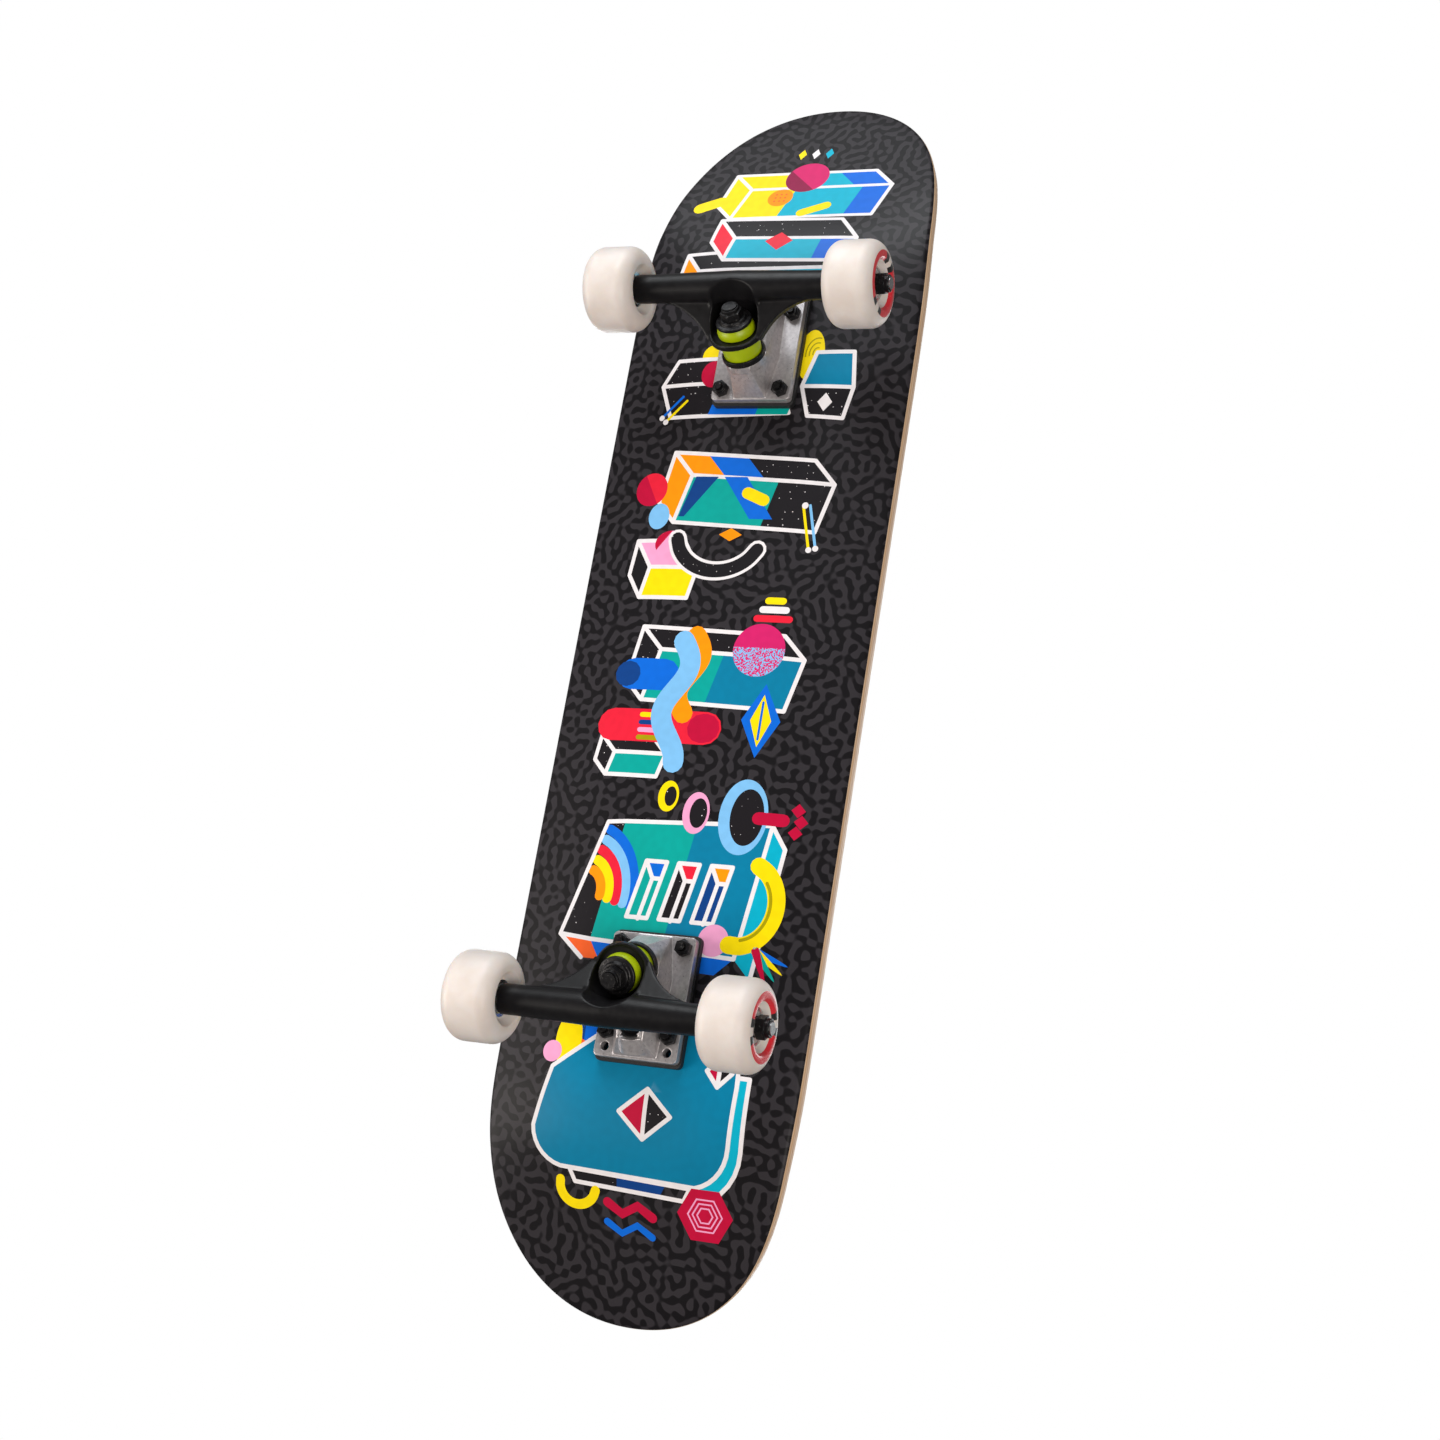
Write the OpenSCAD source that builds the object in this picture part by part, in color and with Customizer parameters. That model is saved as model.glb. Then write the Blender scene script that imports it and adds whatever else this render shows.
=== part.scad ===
// Skateboard: a laminated double-kick deck on two kingpin trucks and four urethane wheels.
// The board stands on its wheels. +X is the nose, +Z is up, and Z = 0 is the ground.
// The origin is below the middle of the board's overall length.

/* [Deck] */
// Width of the deck across its straight rails
deck_w = 203.2; // [190:0.1:215]
// Thickness of the pressed maple laminate
deck_t = 11; // [9:0.5:13]
// Distance between the centres of the two truck bolt patterns
truck_spacing = 422.2; // [395:0.1:440]
// Nose length, along the surface from midway between the trucks
nose_len = 442; // [425:1:455]
// Tail length, along the surface from midway between the trucks
tail_len = 417; // [400:1:435]
// Where each kick starts to bend up, from midway between the trucks
kick_start = 267; // [262:1:285]
// Angle of the nose and tail kicks, in degrees
kick_angle = 22.5; // [15:0.5:26]
// Bend radius of the kicks
kick_r = 120; // [80:5:160]
// Rise of the rails above the flat middle of the deck
concave = 9; // [0:0.5:12]
// Thickness of the grip tape on top of the deck
grip_t = 0.9; // [0.6:0.1:1.5]

/* [Trucks] */
// Height of a truck, from the top of its baseplate to the axle centre
truck_h = 53.5; // [52:0.5:56]
// Thickness of the riser pad between deck and baseplate
riser_t = 4; // [3:0.5:6]
// Distance of the axle from the bolt pattern's centre, away from the board's middle
axle_out = 21.8; // [20:0.1:23]
// Length of the hanger between the two inner speed washers
hanger_w = 138; // [132:1:146]
// Lean of the kingpin from vertical, in degrees
kingpin_lean = 26.5; // [25.5:0.5:27.5]
// Hardware hole spacing along the board
bolt_x = 53.98; // [53.98:0.01:53.98]
// Hardware hole spacing across the board
bolt_y = 41.28; // [41.28:0.01:41.28]

/* [Wheels] */
// Diameter of a wheel
wheel_d = 55; // [52:0.5:58]
// Width of a wheel
wheel_w = 34; // [30:0.5:36]
// Width of the flat tread
tread_w = 16.5; // [14:0.5:20]

/* [Hidden] */
$fn = 96;
wheel_r = wheel_d / 2;
axle_drop = truck_h + riser_t;
deck_z = wheel_r + axle_drop;

// Hardware: number 10 machine screws with lock nuts
bolt_r = 2.4;
bolt_hole_r = 2.75;
bolt_head_r = 4.8;
bolt_head_h = 2.8;
bolt_len = 28.6;
bolt_nut_af = 9.5;
bolt_nut_h = 4.2;
extra_hole_step = 9.52;

// Baseplate, in truck coordinates: +X points away from the board's middle
plate_t = 5.5;
plate_in = 34;
plate_out = 42.7;
plate_w = 55;
plate_z = -riser_t - plate_t;
riser_edge = 2;
plate_corner = 3;
riser_corner = 3.5;
hump_half = 14.2;
hump_bulge = 1.8;
hump_toe = 11;
hump_foot = [[1 - plate_in, hump_toe], [-6, hump_half + hump_bulge], [plate_out - 2, hump_half]];

// Kingpin stack, measured along the kingpin from the middle of the hanger's ring
ring_x = -3.8;
ring_z = -44.3;
kingpin_r = 4.76;
ring_r = 18.2;
ring_wall = 2;
ring_rim = 1.4;
ring_web = 1;
ring_lip = 2.2;
ring_hole_r = 8;
gap = 0.15;
inner_stack = 15.2;
inner_washer_t = 2.8;
inner_washer_lip = 1.2;
inner_washer_r = 14;
boss_face = inner_stack + inner_washer_t;
boss_r = 13.2;
hump_top_r = 14;
washer_room = 0.4;
head_face = boss_face + 9;
head_h = 6;
head_af = 14.3;
outer_stack = 8.2;
outer_washer_t = 2.5;
shoulder_t = 2.2;
shoulder_r = 9;
outer_washer_r = 11.8;
bushing_r = 12.3;
nut_face = outer_stack + outer_washer_t + shoulder_t;
nut_h = 7.5;
nut_af = 12.9;
kingpin_tip = nut_face + nut_h + 1;

// Pivot: the hanger's nose turns in a cup held by the baseplate
pivot_x = 28;
pivot_z = -14;
nose_r = 4.5;
neck_r = 6.5;
neck_at = 5;
arm_r = 9;
cup_r = 7.5;
cup_depth = 5.5;
cup_mouth = 3;
cup_fit = 0.1;
pivot_boss_r = 11;
pivot_top_r = 12;
cup_lip = 1;
cup_room = 0.4;
steer_tilt = atan2(ring_x - pivot_x, ring_z - pivot_z);
pivot_to_ring = norm([ring_x - pivot_x, ring_z - pivot_z]);

// Axle and hanger tube
axle_r = 4;
axle_fit = 0.05;
tube_end_r = 9.3;
tube_mid_r = 10.6;
flare_reach = 40;

// Ball bearings, type 608: two in each wheel with a spacer between them
bearing_r = 11;
bearing_w = 7;
spacer_w = 10;
spacer_r = 5.4;
ball_r = 1.984;
ball_pitch_r = 7.5;
ball_count = 7;
groove_r = 2.1;
outer_race_r = 9.2;
inner_race_r = 5.8;
shield_t = 0.35;
washer_t = 1;
washer_r = 5.6;
axle_nut_af = 12.7;
axle_nut_h = 8;
hub_half = spacer_w / 2 + bearing_w;
wheel_y = hanger_w / 2 + washer_t + hub_half;
axle_half = wheel_y + hub_half + washer_t + axle_nut_h + 1;

// Deck grid: rows run along the board, columns across it
cols = 12;
mid_rows = 16;
nose_rows = 22;
tail_rows = 18;
nose_taper = 152;
tail_taper = 218;
nose_power = 4.4;
tail_power = 3.5;
tip_power = 2.1;
tip_end = 0.9995;
flat_half = deck_w / cols * 2;
concave_fade = 90;

// ---- Deck surface ----------------------------------------------------------

// s is the distance along the underside from midway between the trucks
bend_len = kick_r * kick_angle * PI / 180;
function past_kick(s) = abs(s) - kick_start;
function slope(s) = min(kick_angle, max(0, past_kick(s)) / kick_r * 180 / PI);
function rise_x(s) =
    min(abs(s), kick_start) + kick_r * sin(slope(s))
    + max(0, past_kick(s) - bend_len) * cos(kick_angle);
function rise_z(s) =
    kick_r * (1 - cos(slope(s))) + max(0, past_kick(s) - bend_len) * sin(kick_angle);

// Half the deck's width at s: straight rails that round off towards each tip
function rounding(along, power) = pow(max(0, 1 - pow(max(0, along), power)), 1 / tip_power);
function half_width(s) = deck_w / 2 * (s > 0
    ? rounding((s - nose_taper) / (nose_len - nose_taper), nose_power)
    : rounding((-s - tail_taper) / (tail_len - tail_taper), tail_power));

// Height of the concave at s and y: a parabola outside the flat middle that fades along the kick
function fade(s) = pow(cos(90 * min(1, max(0, past_kick(s)) / concave_fade)), 2);
function bowl(y) = pow(max(0, abs(y) - flat_half) / (deck_w / 2 - flat_half), 2);
function deck_point(s, v, h) =
    let (y = v * half_width(s), up = h + concave * bowl(y) * fade(s))
    [mid_x + sign(s) * (rise_x(s) - up * sin(slope(s))), y, deck_z + rise_z(s) + up * cos(slope(s))];

// The nose reaches further from the trucks than the tail, so they sit behind the origin
mid_x = (rise_x(tail_len) - rise_x(nose_len)) / 2;

rows = concat(
    [for (i = [0 : tail_rows - 1])
        -tail_taper - (tail_len - tail_taper) * tip_end * sin(90 * (tail_rows - i) / tail_rows)],
    [for (i = [0 : mid_rows - 1]) -tail_taper + (tail_taper + nose_taper) * i / mid_rows],
    [for (i = [0 : nose_rows])
        nose_taper + (nose_len - nose_taper) * tip_end * sin(90 * i / nose_rows)]);

// A closed skin between two heights above the deck's underside
module deck_layer(low, high) {
    n = len(rows);
    m = cols + 1;
    points = concat(
        [for (s = rows) for (j = [0 : cols]) deck_point(s, 2 * j / cols - 1, low)],
        [for (s = rows) for (j = [0 : cols]) deck_point(s, 2 * j / cols - 1, high)]);
    top = n * m;
    faces = concat(
        [for (i = [0 : n - 2]) for (j = [0 : cols - 1])
            each [[i * m + j, (i + 1) * m + j, (i + 1) * m + j + 1],
                  [i * m + j, (i + 1) * m + j + 1, i * m + j + 1]]],
        [for (i = [0 : n - 2]) for (j = [0 : cols - 1])
            each [[top + i * m + j, top + (i + 1) * m + j + 1, top + (i + 1) * m + j],
                  [top + i * m + j, top + i * m + j + 1, top + (i + 1) * m + j + 1]]],
        [for (i = [0 : n - 2])
            each [[i * m, top + i * m, top + (i + 1) * m], [i * m, top + (i + 1) * m, (i + 1) * m]]],
        [for (i = [0 : n - 2]) let (a = i * m + cols, b = a + m)
            each [[a, b, top + b], [a, top + b, top + a]]],
        [for (j = [0 : cols - 1])
            each [[j, j + 1, top + j + 1], [j, top + j + 1, top + j]]],
        [for (j = [0 : cols - 1]) let (a = (n - 1) * m + j)
            each [[a, top + a, top + a + 1], [a, top + a + 1, a + 1]]]);
    polyhedron(points, faces, convexity = 6);
}

// ---- Placement -------------------------------------------------------------

// Puts children at a truck: z = 0 at the deck's underside, +X away from the board's middle
module at_truck(end) {
    translate([mid_x + end * truck_spacing / 2, 0, deck_z])
        rotate([0, 0, end > 0 ? 0 : 180])
            children();
}

module at_bolts() {
    for (x = [-1, 1], y = [-1, 1])
        translate([x * bolt_x / 2, y * bolt_y / 2, 0])
            children();
}

// Z runs along the kingpin from its head to its nut, from the middle of the hanger's ring
module at_kingpin() {
    translate([ring_x, 0, ring_z])
        rotate([0, 180 - kingpin_lean, 0])
            children();
}

// Z runs along the steering axis from the pivot towards the hanger's ring
module at_pivot() {
    translate([pivot_x, 0, pivot_z])
        rotate([0, steer_tilt, 0])
            children();
}

// Z runs along the axle, from the board's centre line
module at_axle() {
    translate([axle_out, 0, -axle_drop])
        rotate([-90, 0, 0])
            children();
}

// Puts children at the middle of a wheel, with Z along the axle and away from the board
module at_wheel(end, side) {
    at_truck(end)
        at_axle()
            rotate([0, end * side > 0 ? 0 : 180, 0])
                translate([0, 0, wheel_y])
                    children();
}

module both_wheels() {
    for (side = [0, 180])
        at_axle()
            rotate([0, side, 0])
                translate([0, 0, wheel_y])
                    children();
}

module both_bearings() {
    for (side = [-1, 1])
        translate([0, 0, side * (spacer_w + bearing_w) / 2])
            children();
}

// ---- Small shapes ----------------------------------------------------------

module disc(r, low, high) {
    translate([0, 0, low])
        cylinder(h = high - low, r = r);
}

module tube(outer, inner, low, high) {
    difference() {
        disc(outer, low, high);
        disc(inner, low - 1, high + 1);
    }
}

module hexagon(across, low, high) {
    translate([0, 0, low])
        cylinder(h = high - low, r = across / 2 / cos(30), $fn = 6);
}

module rounded_plate(x0, x1, w, r) {
    for (x = [x0 + r, x1 - r])
        translate([x - r, -w / 2 + r])
            square([2 * r, w - 2 * r]);
    translate([x0 + r, -w / 2])
        square([x1 - x0 - 2 * r, w]);
    for (x = [x0 + r, x1 - r], y = [-w / 2 + r, w / 2 - r])
        translate([x, y])
            circle(r);
}

// Lock nut: a hexagon with a round nylon collar
module lock_nut(across, h, bore, collar_h) {
    difference() {
        union() {
            intersection() {
                hexagon(across, 0, h);
                translate([0, 0, -across / 2])
                    cylinder(h = h + across, r1 = across * 1.1, r2 = across * 0.52);
            }
            disc(across * 0.44, h - 0.5, h + collar_h);
        }
        disc(bore, -1, h + collar_h + 1);
    }
}

// ---- Board pieces ----------------------------------------------------------

module bolt_head_cut(clear) {
    translate([0, 0, deck_t + grip_t - bolt_head_h])
        cylinder(h = bolt_head_h, r1 = bolt_r + clear, r2 = bolt_head_r + clear);
}

module deck() {
    color("burlywood")
        difference() {
            deck_layer(0, deck_t);
            for (end = [-1, 1])
                at_truck(end)
                    at_bolts() {
                        disc(bolt_hole_r, -1, deck_t + 1);
                        bolt_head_cut(0.2);
                    }
        }
}

module grip_tape() {
    color("#202022")
        difference() {
            deck_layer(deck_t, deck_t + grip_t);
            for (end = [-1, 1])
                at_truck(end)
                    at_bolts()
                        disc(bolt_head_r + 0.3, deck_t - 1, deck_t + grip_t + 1);
        }
}

// ---- Truck pieces fixed to the board ---------------------------------------

// The same outline across the board's middle, taken back to its start
function mirrored(outline) =
    [for (i = [len(outline) - 1 : -1 : 0]) [outline[i][0], -outline[i][1]]];

module plate_holes() {
    at_bolts()
        disc(bolt_hole_r, -40, 1);
    for (y = [-1, 1])
        translate([bolt_x / 2 + extra_hole_step, y * bolt_y / 2, 0])
            disc(bolt_hole_r, -40, 1);
}

module riser_pad(end) {
    color("#1c1c1e")
        at_truck(end)
            difference() {
                translate([0, 0, -riser_t])
                    linear_extrude(riser_t)
                        rounded_plate(-plate_in - riser_edge, plate_out + riser_edge,
                            plate_w + riser_edge, riser_corner);
                plate_holes();
            }
}

module baseplate(end) {
    color("silver")
        at_truck(end)
            difference() {
                union() {
                    translate([0, 0, plate_z])
                        linear_extrude(plate_t)
                            rounded_plate(-plate_in, plate_out, plate_w, plate_corner);
                    hull() {
                        translate([0, 0, plate_z])
                            linear_extrude(1)
                                polygon(concat(hump_foot, mirrored(hump_foot)));
                        at_kingpin()
                            rotate([0, 0, 30])
                                disc(hump_top_r, -boss_face - 1, -boss_face - 0.5, $fn = 6);
                        at_pivot()
                            rotate([0, 0, 45])
                                disc(pivot_top_r, cup_mouth - 2, cup_mouth - 1, $fn = 4);
                    }
                    intersection() {
                        union() {
                            at_kingpin()
                                disc(boss_r, -boss_face - 5, -boss_face);
                            at_pivot()
                                disc(pivot_boss_r, -cup_depth - 3, cup_mouth);
                        }
                        translate([-plate_in, -plate_w / 2, -40])
                            cube([plate_in + plate_out, plate_w, 40 - riser_t]);
                    }
                }
                plate_holes();
                at_kingpin() {
                    disc(kingpin_r + axle_fit, -60, 0);
                    disc(inner_washer_r + washer_room, -boss_face, 2);
                    rotate([0, 0, 30])
                        hexagon(head_af + 0.5, -60, -head_face);
                }
                at_pivot() {
                    disc(cup_r, -cup_depth, cup_mouth + 1);
                    disc(cup_r + cup_lip + cup_room, cup_mouth, cup_mouth + cup_lip + cup_room);
                    translate([0, 0, cup_mouth + 1])
                        cylinder(h = pivot_to_ring - cup_mouth, r1 = neck_r + 1.5, r2 = arm_r + 2);
                }
            }
}

// The cup's inside follows the nose: a ball end, then a cone
module pivot_nose(clear) {
    sphere(nose_r + clear);
    cylinder(h = neck_at, r1 = nose_r + clear, r2 = neck_r + clear);
}

module pivot_cup(end) {
    color("#1c1c1e")
        at_truck(end)
            at_pivot()
                difference() {
                    union() {
                        disc(cup_r, -cup_depth, cup_mouth);
                        disc(cup_r + cup_lip, cup_mouth, cup_mouth + cup_lip);
                    }
                    pivot_nose(cup_fit);
                }
}

module kingpin(end) {
    color("#3a3a3c")
        at_truck(end)
            at_kingpin() {
                disc(kingpin_r, -head_face - 1, kingpin_tip);
                rotate([0, 0, 30])
                    hexagon(head_af, -head_face - head_h, -head_face);
            }
}

module kingpin_nut(end) {
    color("#2c2c2e")
        at_truck(end)
            at_kingpin()
                translate([0, 0, nut_face])
                    lock_nut(nut_af, nut_h - 2.5, kingpin_r + axle_fit, 2.5);
}

// A cupped washer: its raised shoulder bears on the nut
module outer_washer(end) {
    color("#2c2c2e")
        at_truck(end)
            at_kingpin()
                difference() {
                    union() {
                        disc(outer_washer_r, outer_stack, outer_stack + outer_washer_t);
                        translate([0, 0, outer_stack + outer_washer_t])
                            cylinder(h = shoulder_t, r1 = shoulder_r, r2 = shoulder_r - 0.6);
                    }
                    disc(kingpin_r + axle_fit, outer_stack - 1, nut_face + 1);
                }
}

module inner_washer(end) {
    color("#2c2c2e")
        at_truck(end)
            at_kingpin()
                difference() {
                    disc(inner_washer_r, -boss_face, -inner_stack + inner_washer_lip);
                    disc(bushing_r + gap, -inner_stack, 0);
                    disc(kingpin_r + axle_fit, -boss_face - 1, 0);
                }
}

module inner_bushing(end) {
    color("yellowgreen")
        at_truck(end)
            at_kingpin()
                difference() {
                    disc(bushing_r, -inner_stack, -ring_web - gap);
                    disc(kingpin_r + axle_fit, -inner_stack - 1, 0);
                }
}

module outer_bushing(end) {
    color("yellowgreen")
        at_truck(end)
            at_kingpin()
                difference() {
                    translate([0, 0, ring_web + gap])
                        cylinder(h = outer_stack - ring_web - gap, r1 = bushing_r, r2 = outer_washer_r - 0.6);
                    disc(kingpin_r + axle_fit, 0, outer_stack + 1);
                }
}

module mounting_bolts(end) {
    color("#2a2a2c")
        at_truck(end)
            at_bolts()
                difference() {
                    union() {
                        disc(bolt_r, deck_t + grip_t - bolt_len, deck_t + grip_t - bolt_head_h + 0.5);
                        bolt_head_cut(0);
                    }
                    for (a = [0, 90])
                        rotate([0, 0, a])
                            translate([-2.6, -0.5, deck_t + grip_t - 1.8])
                                cube([5.2, 1, 3]);
                }
}

module mounting_nuts(end) {
    color("#2a2a2c")
        at_truck(end)
            at_bolts()
                translate([0, 0, plate_z])
                    rotate([180, 0, 8])
                        lock_nut(bolt_nut_af, bolt_nut_h, bolt_r + axle_fit, 1.4);
}

// ---- Hanger and what it carries --------------------------------------------

// Where the axle lies from the ring: axle_p across the kingpin and axle_t along it
axle_reach = axle_out - ring_x;
axle_below = -axle_drop - ring_z;
axle_p = axle_reach * cos(kingpin_lean) + axle_below * sin(kingpin_lean);
axle_t = axle_reach * sin(kingpin_lean) - axle_below * cos(kingpin_lean);

module hanger_tube() {
    at_axle() {
        disc(tube_end_r, -hanger_w / 2, hanger_w / 2);
        for (a = [0, 180])
            rotate([0, a, 0])
                cylinder(h = hanger_w / 2 - 14, r1 = tube_mid_r, r2 = tube_end_r);
    }
}

// Side webs in a plane through the axle: an arc runs from each side of the ring into the tube
module flare() {
    root_p = -6;
    root_t = -1;
    web_t = 6.5;
    lean = atan2(axle_p - root_p, axle_t - root_t);
    span = norm([axle_p - root_p, axle_t - root_t]);
    rise = span - tube_end_r + 1;
    arc_r = (pow(flare_reach, 2) + pow(rise, 2)) / (2 * rise);
    half = ring_r + flare_reach;
    at_kingpin()
        translate([-axle_p, 0, axle_t])
            rotate([0, -lean, 0])
                rotate([90, 0, 90])
                    translate([0, -span, -web_t / 2])
                        linear_extrude(web_t)
                            difference() {
                                translate([-half, 0])
                                    square([2 * half, span]);
                                for (side = [-1, 1])
                                    translate([side * half, rise - arc_r])
                                        circle(arc_r);
                            }
}

module hanger_ring() {
    at_kingpin()
        difference() {
            disc(ring_r, -ring_rim, axle_t);
            translate([14, 0, axle_t])
                rotate([90, 0, 0])
                    cylinder(h = 3 * ring_r, r = axle_t - ring_lip, center = true);
        }
}

// The arm to the pivot, with a rib down to the tube
module hanger_arm() {
    at_pivot() {
        pivot_nose(0);
        translate([0, 0, neck_at])
            cylinder(h = pivot_to_ring - neck_at, r1 = neck_r, r2 = arm_r);
    }
    rotate([90, 0, 0])
        translate([0, 0, -4])
            linear_extrude(8)
                polygon([[pivot_x - 9, pivot_z - 9], [pivot_x - 2, pivot_z - 17],
                    [axle_out + 7, -axle_drop + 4], [axle_out - 4, -axle_drop],
                    [ring_x + 12, ring_z + 4]]);
}

module hanger(end) {
    color("#232325")
        at_truck(end)
            difference() {
                union() {
                    hanger_tube();
                    flare();
                    hanger_ring();
                    hanger_arm();
                }
                at_kingpin() {
                    disc(ring_hole_r, -30, 30);
                    disc(bushing_r + 0.6, -inner_stack - 1, -ring_web);
                    disc(ring_r - ring_wall, ring_web, nut_face + 3);
                    intersection() {
                        disc(ring_r - ring_wall, ring_web, 60);
                        translate([24 - axle_p + axle_r + 0.6, 0, 0])
                            cylinder(h = 60, r = 24);
                    }
                }
                at_axle()
                    disc(axle_r, -hanger_w, hanger_w);
            }
}

module axle(end) {
    color("silver")
        at_truck(end)
            at_axle()
                disc(axle_r, -axle_half, axle_half);
}

module speed_washers(end) {
    color("silver")
        at_truck(end)
            both_wheels()
                for (side = [-1, 1])
                    translate([0, 0, side * (hub_half + washer_t / 2)])
                        tube(washer_r, axle_r + axle_fit, -washer_t / 2, washer_t / 2);
}

module axle_nuts(end) {
    color("#1c1c1e")
        at_truck(end)
            both_wheels()
                translate([0, 0, hub_half + washer_t])
                    lock_nut(axle_nut_af, axle_nut_h - 2.5, axle_r + axle_fit, 2.5);
}

module bearing_spacers(end) {
    color("silver")
        at_truck(end)
            both_wheels()
                tube(spacer_r, axle_r + axle_fit, -spacer_w / 2, spacer_w / 2);
}

module ball_groove() {
    rotate_extrude()
        translate([ball_pitch_r, 0])
            circle(groove_r, $fn = 48);
}

module bearing_inner_races(end) {
    color("gainsboro")
        at_truck(end)
            both_wheels()
                both_bearings()
                    difference() {
                        tube(inner_race_r, axle_r + axle_fit, -bearing_w / 2, bearing_w / 2);
                        ball_groove();
                    }
}

// ---- Wheels ----------------------------------------------------------------

// Half profile from the flat tread over the rounded shoulder to the recessed hub
module wheel(end, side) {
    shoulder_r = wheel_w / 2 - tread_w / 2;
    lip_r = wheel_r - 7.5;
    color("linen")
        at_wheel(end, side)
            difference() {
                union() {
                    disc(wheel_r, -tread_w / 2, tread_w / 2);
                    for (a = [0, 180])
                        rotate([0, a, 0])
                            rotate_extrude()
                                union() {
                                    square([wheel_r - shoulder_r, wheel_w / 2]);
                                    square([wheel_r - 0.01, tread_w / 2]);
                                    translate([wheel_r - shoulder_r, tread_w / 2])
                                        intersection() {
                                            circle(shoulder_r);
                                            square(shoulder_r);
                                        }
                                }
                }
                disc(spacer_r + 2.5, -wheel_w, wheel_w);
                for (a = [0, 180])
                    rotate([0, a, 0]) {
                        disc(bearing_r, spacer_w / 2, wheel_w);
                        translate([0, 0, hub_half])
                            cylinder(h = wheel_w / 2 - hub_half, r1 = bearing_r + 1, r2 = lip_r - 3.5);
                    }
            }
}

module bearing_outer_races(end, side) {
    color("gainsboro")
        at_wheel(end, side)
            both_bearings()
                difference() {
                    tube(bearing_r, outer_race_r, -bearing_w / 2, bearing_w / 2);
                    ball_groove();
                }
}

module bearing_shields(end, side) {
    color("silver")
        at_wheel(end, side)
            both_bearings()
                for (face = [-1, 1])
                    translate([0, 0, face * (bearing_w / 2 - 0.5)])
                        tube(outer_race_r, inner_race_r + 0.4, -shield_t / 2, shield_t / 2);
}

module bearing_balls(end, side) {
    color("white")
        at_wheel(end, side)
            both_bearings()
                for (i = [0 : ball_count - 1])
                    rotate([0, 0, i * 360 / ball_count])
                        translate([ball_pitch_r, 0, 0])
                            sphere(ball_r, $fn = 32);
}

module bearing_cages(end, side) {
    color("ivory")
        at_wheel(end, side)
            both_bearings()
                difference() {
                    tube(ball_pitch_r + 0.8, ball_pitch_r - 0.8, -1.2, 1.2);
                    for (i = [0 : ball_count - 1])
                        rotate([0, 0, i * 360 / ball_count])
                            rotate([0, 90, 0])
                                cylinder(h = 20, r = ball_r + 0.05);
                }
}

deck();
grip_tape();
riser_pad(1);  // front_riser_pad
baseplate(1);  // front_baseplate
pivot_cup(1);  // front_pivot_cup
kingpin(1);  // front_kingpin
inner_washer(1);  // front_inner_washer
inner_bushing(1);  // front_inner_bushing
outer_bushing(1);  // front_outer_bushing
outer_washer(1);  // front_outer_washer
kingpin_nut(1);  // front_kingpin_nut
mounting_bolts(1);  // front_mounting_bolts
mounting_nuts(1);  // front_mounting_nuts
hanger(1);  // front_hanger
axle(1);  // front_axle
speed_washers(1);  // front_speed_washers
bearing_inner_races(1);  // front_bearing_inner_races
bearing_spacers(1);  // front_bearing_spacers
axle_nuts(1);  // front_axle_nuts
riser_pad(-1);  // rear_riser_pad
baseplate(-1);  // rear_baseplate
pivot_cup(-1);  // rear_pivot_cup
kingpin(-1);  // rear_kingpin
inner_washer(-1);  // rear_inner_washer
inner_bushing(-1);  // rear_inner_bushing
outer_bushing(-1);  // rear_outer_bushing
outer_washer(-1);  // rear_outer_washer
kingpin_nut(-1);  // rear_kingpin_nut
mounting_bolts(-1);  // rear_mounting_bolts
mounting_nuts(-1);  // rear_mounting_nuts
hanger(-1);  // rear_hanger
axle(-1);  // rear_axle
speed_washers(-1);  // rear_speed_washers
bearing_inner_races(-1);  // rear_bearing_inner_races
bearing_spacers(-1);  // rear_bearing_spacers
axle_nuts(-1);  // rear_axle_nuts
wheel(1, 1);  // front_left_wheel
bearing_outer_races(1, 1);  // front_left_bearing_outer_races
bearing_shields(1, 1);  // front_left_bearing_shields
bearing_balls(1, 1);  // front_left_bearing_balls
bearing_cages(1, 1);  // front_left_bearing_cages
wheel(1, -1);  // front_right_wheel
bearing_outer_races(1, -1);  // front_right_bearing_outer_races
bearing_shields(1, -1);  // front_right_bearing_shields
bearing_balls(1, -1);  // front_right_bearing_balls
bearing_cages(1, -1);  // front_right_bearing_cages
wheel(-1, 1);  // rear_left_wheel
bearing_outer_races(-1, 1);  // rear_left_bearing_outer_races
bearing_shields(-1, 1);  // rear_left_bearing_shields
bearing_balls(-1, 1);  // rear_left_bearing_balls
bearing_cages(-1, 1);  // rear_left_bearing_cages
wheel(-1, -1);  // rear_right_wheel
bearing_outer_races(-1, -1);  // rear_right_bearing_outer_races
bearing_shields(-1, -1);  // rear_right_bearing_shields
bearing_balls(-1, -1);  // rear_right_bearing_balls
bearing_cages(-1, -1);  // rear_right_bearing_cages
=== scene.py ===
import math

import bpy
import numpy as np
from mathutils import Matrix, Vector
from mathutils.geometry import delaunay_2d_cdt


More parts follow.
